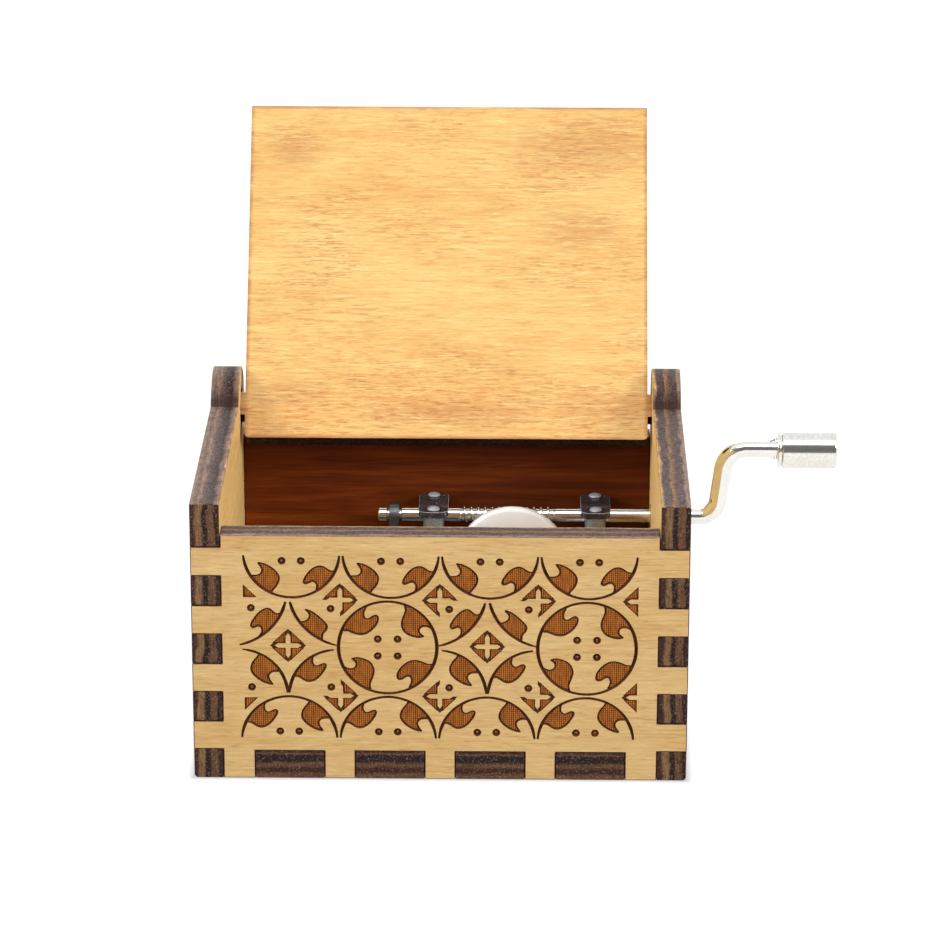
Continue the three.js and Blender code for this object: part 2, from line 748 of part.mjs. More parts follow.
function makeCylinder() {
  const half = cylinderLength / 2;
  const inner = cylinderRadius - cylinderWall;
  const at = [cylinderOffsetX, cylinderY, cylinderZ];
  const wall = [[inner, -half], [cylinderRadius, -half], [cylinderRadius, half], [inner, half], [inner, -half]];
  const firstTooth = (-(combTeeth - 1) * toothPitch) / 2;
  const pinLength = pinHeight + pinRoot;
  const pins = pinPlaces().map(([tooth, angle]) => {
    const pin = new THREE.CylinderGeometry(pinRadius, pinRadius, pinLength, pinSides);
    pin.rotateX(Math.PI / 2).translate(0, 0, pinTipRadius - pinLength / 2).rotateY(angle);
    return pin.translate(at[0], at[1] + firstTooth + tooth * toothPitch, at[2]);
  });
  piece('pinned_cylinder', join([turned(wall, back, at, drumSegments), ...pins]), brass);
  const discRadius = inner - runningClearance;
  const discBore = arborRadius + runningClearance;
  for (const [name, side] of [['front', -1], ['rear', 1]]) {
    const middle = side * (half - endDiscInset - endDiscThickness / 2);
    const [y0, y1] = [middle - endDiscThickness / 2, middle + endDiscThickness / 2];
    const ring = [[discBore, y0], [discRadius, y0], [discRadius, y1], [discBore, y1], [discBore, y0]];
    piece(`cylinder_disc_${name}`, turned(ring, back, at, discSegments), brass);
  }
}

function makeArbor() {
  const start = bracketFront - arborTail;
  const end = shaftY + toothedWidth / 2 + arborTail;
  const profile = [
    [0, start],
    [arborRadius - arborChamfer, start],
    [arborRadius, start + arborChamfer],
    [arborRadius, end - arborChamfer],
    [arborRadius - arborChamfer, end],
    [0, end],
  ];
  piece('cylinder_arbor', turned(profile, back, [cylinderOffsetX, 0, cylinderZ]), nickel);
}

// Clear bearing caps over the shaft, each held by two rivets
function makeBearings() {
  for (const [side, x] of bearings) {
    const [hw, hl] = [capWidth / 2, capLength / 2];
    const blank = roundedPlate(x - hw, shaftY - hl, x + hw, shaftY + hl, capCorner, capBottom, capThickness);
    const capTop = capBottom + capThickness;
    const cuts = [rod(shaftBore, x - capWidth, x + capWidth, right, [0, shaftY, shaftHeight], holeSegments)];
    for (const [end, y] of rivetSides) {
      const at = [x, shaftY + y, 0];
      const hole = rivetRadius + runningClearance;
      cuts.push(rod(hole, capBottom - overrun, capTop + overrun, up, at, screwSegments));
      const headFoot = capTop + seatGap;
      const rivet = [
        [0, pedestalTop - rivetLength + runningClearance],
        [rivetRadius, pedestalTop - rivetLength + runningClearance],
        [rivetRadius, headFoot],
        [rivetHeadRadius, headFoot],
        [rivetHeadRadius * Math.cos(Math.PI / 5), headFoot + rivetHeadHeight * Math.sin(Math.PI / 4)],
        [rivetHeadRadius / 2, headFoot + rivetHeadHeight],
        [0, headFoot + rivetHeadHeight],
      ];
      piece(`cap_rivet_${side}_${end}`, turned(rivet, up, at, screwSegments), nickel);
    }
    piece(`bearing_cap_${side}`, carve(blank, cuts), clearPlastic);
  }
}

// Inverted U of flat steel over the shaft's neck, which keeps the shaft from sliding out
function makeClip() {
  const inner = neckRadius + runningClearance * 1.5;
  const outer = inner + clipStock;
  const foot = bedTop + seatGap;
  const outline = new THREE.Shape();
  outline.moveTo(shaftY - outer, foot);
  outline.lineTo(shaftY - inner, foot);
  outline.absarc(shaftY, shaftHeight, inner, Math.PI, 0, true);
  outline.lineTo(shaftY + inner, foot);
  outline.lineTo(shaftY + outer, foot);
  outline.absarc(shaftY, shaftHeight, outer, 0, Math.PI);
  const middle = shaftHeadEnd + shaftHeadLength + neckLength / 2;
  piece('shaft_clip', crossPlate(outline, middle - clipWidth / 2, clipWidth), darkSteel);
}

// Centre line of the crank wire in X and Z: out, up with a slight lean, and out again
function crankLine() {
  const startX = shaftEnd + couplingGap;
  const lowX = halfWidth + crankOutreach;
  const highX = lowX + crankThrow * Math.tan(crankLean);
  const turn = Math.PI / 2 - crankLean;
  const lowCut = lowerBend * Math.tan(turn / 2);
  const highCut = upperBend * Math.tan(turn / 2);
  const highZ = shaftHeight + crankThrow;
  const line = new THREE.Path();
  line.moveTo(startX, shaftHeight);
  line.lineTo(lowX - lowCut, shaftHeight);
  line.absarc(lowX - lowCut, shaftHeight + lowerBend, lowerBend, -Math.PI / 2, turn - Math.PI / 2);
  line.absarc(highX + highCut, highZ - upperBend, upperBend, Math.PI / 2 + turn, Math.PI / 2, true);
  line.lineTo(halfWidth + knobReach + knobLength - wireHeadInset, highZ);
  const points = line.getSpacedPoints(wireSteps).map((p) => new THREE.Vector3(p.x, shaftY, p.y));
  return new THREE.CatmullRomCurve3(points);
}

const knobStart = halfWidth + knobReach;
const knobEnd = knobStart + knobLength;
const knobAxis = [0, shaftY, shaftHeight + crankThrow];

function makeCrank() {
  const section = new THREE.Shape();
  section.absarc(0, 0, crankRadius, 0, 2 * Math.PI);
  const settings = { steps: wireSteps, extrudePath: crankLine(), curveSegments: wireSides / 2 };
  const wire = new THREE.ExtrudeGeometry(section, settings);
  const shaftAxis = [0, shaftY, shaftHeight];
  const start = shaftEnd + couplingGap;
  const spigotStart = shaftEnd - spigotLength + couplingGap;
  const spigot = rod(spigotRadius, spigotStart, start + crankRadius, right, shaftAxis, screwSegments);
  const headEnd = knobEnd - wireHeadInset;
  const head = rod(wireHeadRadius, headEnd - wireHeadHeight, headEnd, right, knobAxis);
  const ears = new THREE.Shape();
  const earEnd = knobStart - earGap;
  const earTop = crankRadius + earHeight;
  ears.moveTo(earEnd - earLength, -crankRadius / 2);
  ears.lineTo(earEnd - earLength, crankRadius / 2);
  ears.lineTo(earEnd - earLength / 3, earTop);
  ears.lineTo(earEnd, earTop);
  ears.lineTo(earEnd, -earTop);
  ears.lineTo(earEnd - earLength / 3, -earTop);
  const crimp = facingPlate(ears, shaftY - earStock / 2, earStock).translate(0, 0, knobAxis[2]);
  piece('crank_rod', join([wire, spigot, head, crimp]), nickel);
}

function makeKnob() {
  const bore = crankRadius + knobWireClearance;
  const pocket = wireHeadRadius + knobWireClearance;
  const shoulder = knobEnd - wireHeadInset - wireHeadHeight - knobWireClearance;
  const grooveStart = knobStart + knobRimWidth;
  const grooveEnd = grooveStart + knobGrooveWidth;
  const profile = [
    [bore, knobStart],
    [knobRimRadius - knobChamfer, knobStart],
    [knobRimRadius, knobStart + knobChamfer],
    [knobRimRadius, grooveStart],
    [knobRadius - knobGrooveDepth, grooveStart],
    [knobRadius - knobGrooveDepth, grooveEnd],
    [knobRadius, grooveEnd],
    [knobRadius, knobEnd - knobChamfer],
    [knobRadius - knobChamfer, knobEnd],
    [pocket, knobEnd],
    [pocket, shoulder],
    [bore, shoulder],
    [bore, knobStart],
  ];
  piece('crank_knob', turned(profile, right, knobAxis, discSegments), nickel);
}

makeCase();
makeLid();
makeBedplate();
makeBracket();
makeScrews();
makeComb();
makeWormShaft();
makeWheel();
makeCylinder();
makeArbor();
makeBearings();
makeClip();
makeCrank();
makeKnob();

export default box;
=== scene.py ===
import math

import bmesh
import bpy
from mathutils import Euler, Matrix, Vector


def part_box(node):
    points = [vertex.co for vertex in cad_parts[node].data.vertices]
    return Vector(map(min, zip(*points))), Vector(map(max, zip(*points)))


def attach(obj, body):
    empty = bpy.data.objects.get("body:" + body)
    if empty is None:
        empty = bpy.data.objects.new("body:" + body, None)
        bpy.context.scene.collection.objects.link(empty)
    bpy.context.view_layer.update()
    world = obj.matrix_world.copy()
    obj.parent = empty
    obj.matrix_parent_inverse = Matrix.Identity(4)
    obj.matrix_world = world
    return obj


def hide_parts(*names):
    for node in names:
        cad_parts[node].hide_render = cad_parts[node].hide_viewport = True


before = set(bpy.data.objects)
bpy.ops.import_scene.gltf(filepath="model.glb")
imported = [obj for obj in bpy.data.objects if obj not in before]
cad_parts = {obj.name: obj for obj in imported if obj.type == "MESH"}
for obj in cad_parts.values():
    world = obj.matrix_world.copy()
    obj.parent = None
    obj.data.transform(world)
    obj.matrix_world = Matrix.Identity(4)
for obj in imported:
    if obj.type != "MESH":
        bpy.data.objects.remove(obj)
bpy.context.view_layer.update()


# View: the box from in front and above, a little to the right of its middle, as a long lens
# sees it. Lengths in this file are millimetres; MM turns them into the frame's metres.
MM = 0.001
VIEW_TILT = math.radians(19.1)
VIEW_ROLL = math.radians(-0.1)
VIEW_PLACE = Vector((9.94, -536.2, 219.97))
VIEW_HEADING = Vector((-0.01326, 0.99991, 0))


def placed(name, data):
    """A new object in the scene."""
    thing = bpy.data.objects.new(name, data)
    bpy.context.scene.collection.objects.link(thing)
    return thing


camera_data = bpy.data.cameras.new("camera")
camera_data.sensor_width = 36
camera_data.lens = 164.8
camera_data.clip_start = 0.01
camera_data.clip_end = 20
camera = placed("camera", camera_data)
camera.location = VIEW_PLACE * MM
sight = VIEW_HEADING * math.cos(VIEW_TILT) - Vector((0, 0, math.sin(VIEW_TILT)))
level = sight.to_track_quat("-Z", "Y")
camera.rotation_euler = (Matrix.Rotation(VIEW_ROLL, 3, sight) @ level.to_matrix()).to_euler()
bpy.context.scene.camera = camera
bpy.context.scene.view_settings.view_transform = "Standard"


# Studio: a white sweep of paper under a broad light above and in front, one at each side and
# one behind, in a pale room whose far side, behind the camera, shows dark in bright metal. The
# paper keeps only a faint shadow of the box.
ROOM_STRENGTH, DARK_STRENGTH = 0.36, 0.17
DARK_SIDE, DARK_TOP = (-0.3, -0.5), (0.75, 0.62)
LAMPS = (  # name, place, width, height, power
    ("overhead", (0, -400, 590), 420, 250, 1.35),
    ("left", (-540, -320, 365), 340, 300, 3.85),
    ("right", (540, -320, 365), 340, 300, 3.85),
    ("rear", (0, 560, 430), 420, 300, 2.6),
)
LAMPS_AIM = (0, 0, 25)
PAPER_GREY, PAPER_GLOW = 0.2, 0.83
PAPER_REACH, PAPER_NEAR_EDGE = 4000, -250
GLOW_FROM_X, GLOW_FROM_Y = (31, 33), (25, 27)  # where the paper's glow sets in, beside the box; short of it the paper keeps no glow, which leaves a painted shade round the box's foot


def colour(red, green, blue):
    """A screen colour, 0 to 255, as the linear colour that a material takes."""
    def linear(value):
        value /= 255
        return value / 12.92 if value <= 0.04045 else ((value + 0.055) / 1.055) ** 2.4
    return (linear(red), linear(green), linear(blue), 1)


def add(tree, kind, inputs=(), **settings):
    """A node of that kind. Each input is given a value, or the output that feeds it."""
    node = tree.nodes.new(kind)
    for key, value in settings.items():
        setattr(node, key, value)
    for key, value in dict(inputs).items():
        if isinstance(value, bpy.types.NodeSocket):
            tree.links.new(value, node.inputs[key])
        else:
            node.inputs[key].default_value = value
    return node


def math_of(tree, operation, first, second=0.0):
    """The result of one sum on two numbers or outputs."""
    return add(tree, "ShaderNodeMath", {0: first, 1: second}, operation=operation).outputs[0]


def between(tree, value, low, high, start=0.0, end=1.0):
    """The value from low to high, laid out from start to end and held there."""
    return add(tree, "ShaderNodeMapRange", {
        "Value": value, "From Min": low, "From Max": high, "To Min": start, "To Max": end,
    }).outputs["Result"]


def seen_directly(tree):
    """1 on the rays that show the background itself, straight or in metal and glass."""
    path = add(tree, "ShaderNodeLightPath")
    either = math_of(tree, "MAXIMUM", path.outputs["Is Camera Ray"], path.outputs["Is Glossy Ray"])
    return math_of(tree, "MAXIMUM", either, path.outputs["Is Transmission Ray"])


def lamp(name, place, width, height, power):
    """A soft rectangular light."""
    data = bpy.data.lights.new(name, "AREA")
    data.shape = "RECTANGLE"
    data.size = width * MM
    data.size_y = height * MM
    data.energy = power
    light = placed(name, data)
    light.location = Vector(place) * MM
    light.rotation_euler = (Vector(LAMPS_AIM) - Vector(place)).to_track_quat("-Z", "Y").to_euler()


world = bpy.data.worlds.new("studio")
bpy.context.scene.world = world
world.use_nodes = True
room = world.node_tree
room.nodes.clear()
pale_room = add(room, "ShaderNodeBackground", {"Color": (1, 1, 1, 1), "Strength": ROOM_STRENGTH})
sky = add(room, "ShaderNodeSeparateXYZ", {0: add(room, "ShaderNodeTexCoord").outputs["Generated"]}).outputs
unlit = math_of(room, "MULTIPLY", between(room, sky[1], *DARK_SIDE), between(room, sky[2], *DARK_TOP))
unlit = math_of(room, "MULTIPLY", unlit, add(room, "ShaderNodeLightPath").outputs["Is Glossy Ray"])
white_room = add(room, "ShaderNodeBackground", {
    "Color": (1, 1, 1, 1), "Strength": between(room, unlit, 0, 1, 1.0, DARK_STRENGTH)})
which_room = add(room, "ShaderNodeMixShader", {
    0: seen_directly(room), 1: pale_room.outputs[0], 2: white_room.outputs[0]})
add(room, "ShaderNodeOutputWorld", {"Surface": which_room.outputs[0]})

for row in LAMPS:
    lamp(*row)

paper = bpy.data.meshes.new("paper")
sheet = bmesh.new()
bmesh.ops.create_grid(sheet, x_segments=1, y_segments=1, size=PAPER_REACH * MM)
for corner in sheet.verts:
    corner.co.y = max(corner.co.y, PAPER_NEAR_EDGE * MM)
sheet.to_mesh(paper)
sheet.free()
floor = placed("paper", paper)
paper_white = bpy.data.materials.new("paper_white")
paper_white.use_nodes = True
paper_tree = paper_white.node_tree
paper_tree.nodes.clear()
paper_matt = add(paper_tree, "ShaderNodeBsdfDiffuse", {"Color": (PAPER_GREY,) * 3 + (1,)})
beside = add(paper_tree, "ShaderNodeVectorMath", {
    0: add(paper_tree, "ShaderNodeTexCoord").outputs["Object"]}, operation="ABSOLUTE").outputs[0]
beside = add(paper_tree, "ShaderNodeSeparateXYZ", {0: beside}).outputs
clear_of_box = math_of(paper_tree, "MAXIMUM", *(
    between(paper_tree, beside[axis], near * MM, far * MM)
    for axis, (near, far) in enumerate((GLOW_FROM_X, GLOW_FROM_Y))))
glow = math_of(paper_tree, "MULTIPLY", seen_directly(paper_tree), clear_of_box)
paper_glow = add(paper_tree, "ShaderNodeEmission", {
    "Color": (1, 1, 1, 1), "Strength": math_of(paper_tree, "MULTIPLY", glow, PAPER_GLOW)})
paper_sum = add(paper_tree, "ShaderNodeAddShader", {0: paper_matt.outputs[0], 1: paper_glow.outputs[0]})
add(paper_tree, "ShaderNodeOutputMaterial", {"Surface": paper_sum.outputs[0]})
paper.materials.append(paper_white)


# Side panels, floor and front of the case: birch plywood cut by laser, so each face is pale
# straight-grained veneer with a thin lacquer, and each cut edge is burnt dark, with the
# plies standing in it as olive and maroon bands. Finger joints hold the panels together.
PLY, HALF_WIDTH, HALF_DEPTH = 3.8, 32.0, 26.0
CORNER_WEAR, EDGE_WEAR = 0.5, 0.12


def cad_copy(node):
    """A CAD node's shape in millimetres, its corners merged and its flat faces whole."""
    shape = bmesh.new()
    shape.from_mesh(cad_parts[node].data)
    bmesh.ops.scale(shape, vec=(1 / MM,) * 3, verts=shape.verts)
    bmesh.ops.remove_doubles(shape, verts=shape.verts, dist=0.001)
    bmesh.ops.dissolve_limit(shape, angle_limit=math.radians(0.6), verts=shape.verts, edges=shape.edges)
    return shape


def soften(shape, width, sharper_than=30, segments=2):
    """Takes the sharpness off every edge that bends more than the angle."""
    limit = math.radians(sharper_than)
    edges = [e for e in shape.edges if len(e.link_faces) == 2 and e.calc_face_angle() > limit]
    bmesh.ops.bevel(shape, geom=edges, offset=width, offset_type="OFFSET", segments=segments,
                    profile=0.5, affect="EDGES", clamp_overlap=True, material=-1)


def finished(shape, name, body, nodes, materials, smooth=35):
    """Makes the shape an object of its own, in place of the CAD nodes that it stands for."""
    bmesh.ops.scale(shape, vec=(MM,) * 3, verts=shape.verts)
    mesh = bpy.data.meshes.new(name)
    shape.to_mesh(mesh)
    shape.free()
    for polygon in mesh.polygons:
        polygon.use_smooth = True
    mesh.set_sharp_from_angle(angle=math.radians(smooth))
    for material in materials:
        mesh.materials.append(material)
    piece = placed(name, mesh)
    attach(piece, body)
    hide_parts(*nodes)
    evened = piece.modifiers.new("even_faces", "WEIGHTED_NORMAL")
    evened.keep_sharp = True
    return piece


def new_finish(name, roughness, metallic=0.0, specular=0.5, others=()):
    """A material, its node tree and its shader, with the values that hold all over."""
    material = bpy.data.materials.new(name)
    material.use_nodes = True
    shader = material.node_tree.nodes["Principled BSDF"]
    values = {"Roughness": roughness, "Metallic": metallic, "Specular IOR Level": specular} | dict(others)
    for socket, value in values.items():
        shader.inputs[socket].default_value = value
    return material, material.node_tree, shader


def place_on(tree, middle=(0, 0, 0), turn=0.0):
    """Object coordinates in millimetres about a point, turned about X into the piece's own frame."""
    turned = Euler((turn, 0, 0)).to_matrix() @ Vector(middle)
    return add(tree, "ShaderNodeMapping", {
        "Vector": add(tree, "ShaderNodeTexCoord").outputs["Object"],
        "Location": -turned,
        "Rotation": (turn, 0, 0),
        "Scale": (1 / MM, 1 / MM, 1 / MM),
    }).outputs[0]


def noise(tree, place, stretch, detail=3.0, rough=0.55, wander=0.0):
    """Noise of so many grains a millimetre: one count for all directions, or one for each."""
    counts = stretch if isinstance(stretch, tuple) else (stretch,) * 3
    scaled = add(tree, "ShaderNodeVectorMath", {0: place, 1: counts}, operation="MULTIPLY").outputs[0]
    return add(tree, "ShaderNodeTexNoise", {
        "Vector": scaled, "Scale": 1.0, "Detail": detail, "Roughness": rough, "Distortion": wander,
    }).outputs["Fac"]


def ramp(tree, value, *stops, mode="LINEAR"):
    """Colours along a value: each stop is (place, colour)."""
    node = add(tree, "ShaderNodeValToRGB", {"Fac": value})
    band = node.color_ramp
    band.interpolation = mode
    while len(band.elements) < len(stops):
        band.elements.new(1.0)
    for element, (place, shade) in zip(band.elements, stops):
        element.position = place
        element.color = shade
    return node.outputs["Color"]


def mixed(tree, share, first, second, blend="MIX"):
    """Two colours laid over each other."""
    node = add(tree, "ShaderNodeMix", data_type="RGBA", blend_type=blend)
    for socket, value in ((node.inputs[0], share), (node.inputs[6], first), (node.inputs[7], second)):
        if isinstance(value, bpy.types.NodeSocket):
            tree.links.new(value, socket)
        else:
            socket.default_value = value
    return node.outputs[2]


def bumped(tree, shader, height, strength, depth):
    """Relief from a height; depth is its full range in millimetres."""
    bump = add(tree, "ShaderNodeBump", {"Height": height, "Strength": strength, "Distance": depth * MM})
    tree.links.new(bump.outputs["Normal"], shader.inputs["Normal"])


def along_grain(grain, along, across, depth=None):
    """Stretch factors for a grain that runs along that axis, 0 to 2."""
    factors = [across, across, across if depth is None else depth]
    factors[grain] = along
    return tuple(factors)


def veneer(name, pale, warm, fibre, pore, gleam, grain=0, place=(0, 0, 0), turn=0.0, roughness=0.5,
           figure=0.45, wander=0.6):
    """Rotary-cut birch veneer: broad tones, fine fibres, short dark pores and a soft relief."""
    material, tree, shader = new_finish(name, roughness, specular=0.35)
    spot = place_on(tree, place, turn)
    broad = noise(tree, spot, along_grain(grain, 0.035, 0.22), 2.0, 0.5, wander)
    bands = noise(tree, spot, along_grain(grain, 0.05, 0.9), 4.0, 0.6, wander * 0.5)
    fibres = noise(tree, spot, along_grain(grain, 0.16, 5.0), 5.0, 0.7, 0.1)
    threads = noise(tree, spot, along_grain(grain, 0.33, 3.6), 4.0, 0.7, 0.35)
    pores = noise(tree, spot, along_grain(grain, 0.5, 6.5), 2.0, 0.5)
    patches = noise(tree, spot, 0.09, 2.0, 0.5, 0.4)
    tone = mixed(tree, between(tree, broad, 0.36, 0.66), pale, warm)
    tone = mixed(tree, between(tree, patches, 0.4, 0.7, 0.0, 0.3), tone, pale)
    tone = mixed(tree, between(tree, bands, 0.42, 0.7, 0.0, figure), tone, fibre)
    tone = mixed(tree, between(tree, fibres, 0.38, 0.72, 0.0, 0.42), tone, fibre)
    tone = mixed(tree, between(tree, threads, 0.52, 0.7, 0.0, 0.5), tone, pore)
    tone = mixed(tree, between(tree, threads, 0.46, 0.3, 0.0, 0.45), tone, gleam)
    tone = mixed(tree, between(tree, pores, 0.64, 0.74, 0.0, 0.5), tone, pore)
    gloss = between(tree, fibres, 0.3, 0.7, roughness - 0.07, roughness + 0.1)
    relief = math_of(tree, "ADD", fibres, between(tree, pores, 0.62, 0.76, 0.0, -0.7))
    tree.links.new(tone, shader.inputs["Base Color"])
    tree.links.new(gloss, shader.inputs["Roughness"])
    bumped(tree, shader, relief, 0.5, 0.02)
    return material


MAROON, CHAR, INK, SLATE = colour(60, 31, 27), colour(32, 19, 20), colour(30, 20, 24), colour(72, 58, 59)
BROWN, ROSE, TAN, GREY_SHEEN, PALE = (
    colour(106, 73, 49), colour(106, 81, 71), colour(136, 102, 68), colour(141, 115, 100),
    colour(194, 154, 108))
END_PLIES = ((0.0, MAROON), (0.14, MAROON), (0.22, TAN), (0.36, TAN), (0.44, CHAR), (0.56, CHAR),
             (0.62, BROWN), (0.8, BROWN), (0.86, CHAR), (1.0, MAROON))
# The top edges' plies are partly painted sheen: their pale greys and slate stand for the grey that grazing
# light leaves on a burnt top edge, over the plies' own tan and brown.
TOP_PLIES = ((0.0, GREY_SHEEN), (0.12, GREY_SHEEN), (0.2, SLATE), (0.4, SLATE), (0.46, BROWN), (0.58, TAN),
             (0.64, SLATE), (0.86, SLATE), (0.94, PALE), (1.0, PALE))
LEFT_TOP_PLIES = ((0.0, GREY_SHEEN), (0.08, GREY_SHEEN), (0.2, ROSE), (0.3, GREY_SHEEN), (0.4, ROSE), (0.52, SLATE),
                  (0.74, INK), (0.82, ROSE), (0.93, GREY_SHEEN), (1.0, PALE))
FLOOR_PLIES = ((0.0, BROWN), (0.15, BROWN), (0.25, MAROON), (0.36, MAROON), (0.46, BROWN), (0.53, BROWN),
               (0.63, INK), (0.84, INK), (0.91, BROWN), (0.96, MAROON), (1.0, INK))
LID_PLIES = ((0.0, INK), (0.35, CHAR), (0.5, MAROON), (0.65, CHAR), (1.0, INK))
EAR_FRONT, EAR_SHADE_HEIGHTS = (13.2, 13.4), (40.2, 38.6)  # the foot of each ear is painted darker: painted shade where its round edge turns forward and down


def burnt_edge(name, across, start, plies, place=(0, 0, 0), turn=0.0, flip=False, sway=0.06):
    """A laser-cut plywood edge. Its plies follow each other along an axis and sway a little."""
    material, tree, shader = new_finish(name, 0.65, specular=0.15)
    spot = place_on(tree, place, turn)
    axes = add(tree, "ShaderNodeSeparateXYZ", {0: spot}).outputs
    streaks = noise(tree, spot, along_grain(across, 7.0, 0.35), 4.0, 0.65)
    soot = noise(tree, spot, 1.6, 4.0, 0.7)
    waver = between(tree, noise(tree, spot, 0.3, 3.0, 0.6), 0.3, 0.7, -sway, sway)
    depth = math_of(tree, "ADD", between(tree, axes[across], start, start + PLY), waver)
    if flip:
        depth = math_of(tree, "SUBTRACT", 1.0, depth)
    tone = ramp(tree, depth, *plies)
    tone = mixed(tree, between(tree, streaks, 0.42, 0.68, 0.0, 0.7), tone, CHAR)
    tone = mixed(tree, between(tree, soot, 0.48, 0.72, 0.0, 0.6), tone, CHAR)
    flecks = noise(tree, spot, 3.8, 3.0, 0.7)
    tone = mixed(tree, between(tree, flecks, 0.54, 0.7, 0.0, 0.45), tone, colour(168, 142, 118))
    if plies in (TOP_PLIES, LEFT_TOP_PLIES):
        # On the ears the top finish turns dark towards their foot: painted shade on the lower,
        # forward-facing part of each ear's round edge.
        on_ear, low_on_it = between(tree, axes[1], *EAR_FRONT), between(tree, axes[2], *EAR_SHADE_HEIGHTS)
        ear_painted_shade = math_of(tree, "MULTIPLY", on_ear, low_on_it)
        tone = mixed(tree, between(tree, ear_painted_shade, 0, 1, 0.0, 0.8), tone, colour(44, 22, 15))
    tree.links.new(tone, shader.inputs["Base Color"])
    tree.links.new(between(tree, soot, 0.3, 0.7, 0.55, 0.75), shader.inputs["Roughness"])
    relief = math_of(tree, "ADD", streaks, math_of(tree, "MULTIPLY", soot, 0.5))
    bumped(tree, shader, relief, 0.6, 0.08)
    return material


def burn_edges(shape, across, top=1000):
    """Veneer on the two broad faces, which look along across; the rest is burnt, and faces above the top
    take a third finish, whose plies carry painted sheen.
    """
    for face in shape.faces:
        face.material_index = 0 if abs(face.normal.dot(across)) > 0.95 else 1
        if face.material_index and face.calc_center_median().z > top:
            face.material_index = 2


BIRCH = (colour(214, 181, 124), colour(205, 166, 106), colour(188, 144, 84), colour(158, 114, 62),
         colour(232, 204, 152))
# The side panels take a brighter copy of the birch: painted light, standing in for the light that their
# inner walls lack inside the box.
BIRCH_PAINTED_BRIGHTER = (colour(236, 202, 136), colour(227, 187, 119), colour(211, 166, 94), colour(172, 124, 61),
               colour(249, 220, 156))
side_veneer_painted_brighter = veneer("side_veneer_painted_brighter", *BIRCH_PAINTED_BRIGHTER, grain=1)
floor_veneer = veneer("floor_veneer", *BIRCH, grain=0)
front_veneer = veneer("front_veneer", *BIRCH, grain=0, place=(0, 11, 0))
left_edge = burnt_edge("left_edge", 0, -HALF_WIDTH, END_PLIES)
left_top = burnt_edge("left_top", 0, -HALF_WIDTH, LEFT_TOP_PLIES)
right_edge = burnt_edge("right_edge", 0, HALF_WIDTH - PLY, END_PLIES)
right_top = burnt_edge("right_top", 0, HALF_WIDTH - PLY, TOP_PLIES, flip=True)
floor_edge = burnt_edge("floor_edge", 2, 0, FLOOR_PLIES, sway=0.03)

for node, across, face_finish, edge_finish, top_finish in (
    ("left_panel", Vector((1, 0, 0)), side_veneer_painted_brighter, left_edge, left_top),
    ("right_panel", Vector((1, 0, 0)), side_veneer_painted_brighter, right_edge, right_top),
    ("bottom_panel", Vector((0, 0, 1)), floor_veneer, floor_edge, floor_edge),
):
    panel = cad_copy(node)
    if node != "bottom_panel":
        worn = [e for e in panel.edges
                if all(abs(v.co.x) > HALF_WIDTH - 0.01 and v.co.z < 0.01 for v in e.verts)]
        bmesh.ops.bevel(panel, geom=worn, offset=CORNER_WEAR, segments=4,
                        profile=0.5, affect="EDGES", material=-1)
    soften(panel, EDGE_WEAR)
    burn_edges(panel, across, top=37)
    finished(panel, node + "_ply", "case", [node], [face_finish, edge_finish, top_finish])


# Front panel's ornament: rows of scrolls, leaves and small crossed lozenges engraved by the
# same laser. Lines are round-bottomed grooves; leaves and lozenges are shallow pockets with
# a burnt rim and a floor that the beam has hatched both ways.
FRONT = -HALF_DEPTH
POCKET, RIM, RIM_STRETCH, HATCH_STEP, OVERSHOOT = 0.13, 0.15, 1.6, 0.27, 0.4
# A groove's half width, what upright ones gain, its extra depth and the share of it that tapers.
LINE_HALF, LINE_SWELL, LINE_DEEPER, LINE_TAPER, STEPS_A_MM = 0.165, 0.07, 0.04, 0.1, 2.2
ROWS = (  # middle of the row sideways, height of the circles' middles, their radius, pitch
    (0.04, 31.33, 6.16, 12.72),
    (-0.33, 18.33, 6.34, 12.83),
    (-0.33, 5.28, 6.2, 12.78),
)
ABOVE_OUT, ABOVE_HEIGHT, ABOVE_RADIUS = 8.05, 26.35, 7.96  # the arcs that meet over a star
BELOW_OUT, BELOW_HEIGHT, BELOW_RADIUS = 6.45, 11.65, 6.35  # and those under it
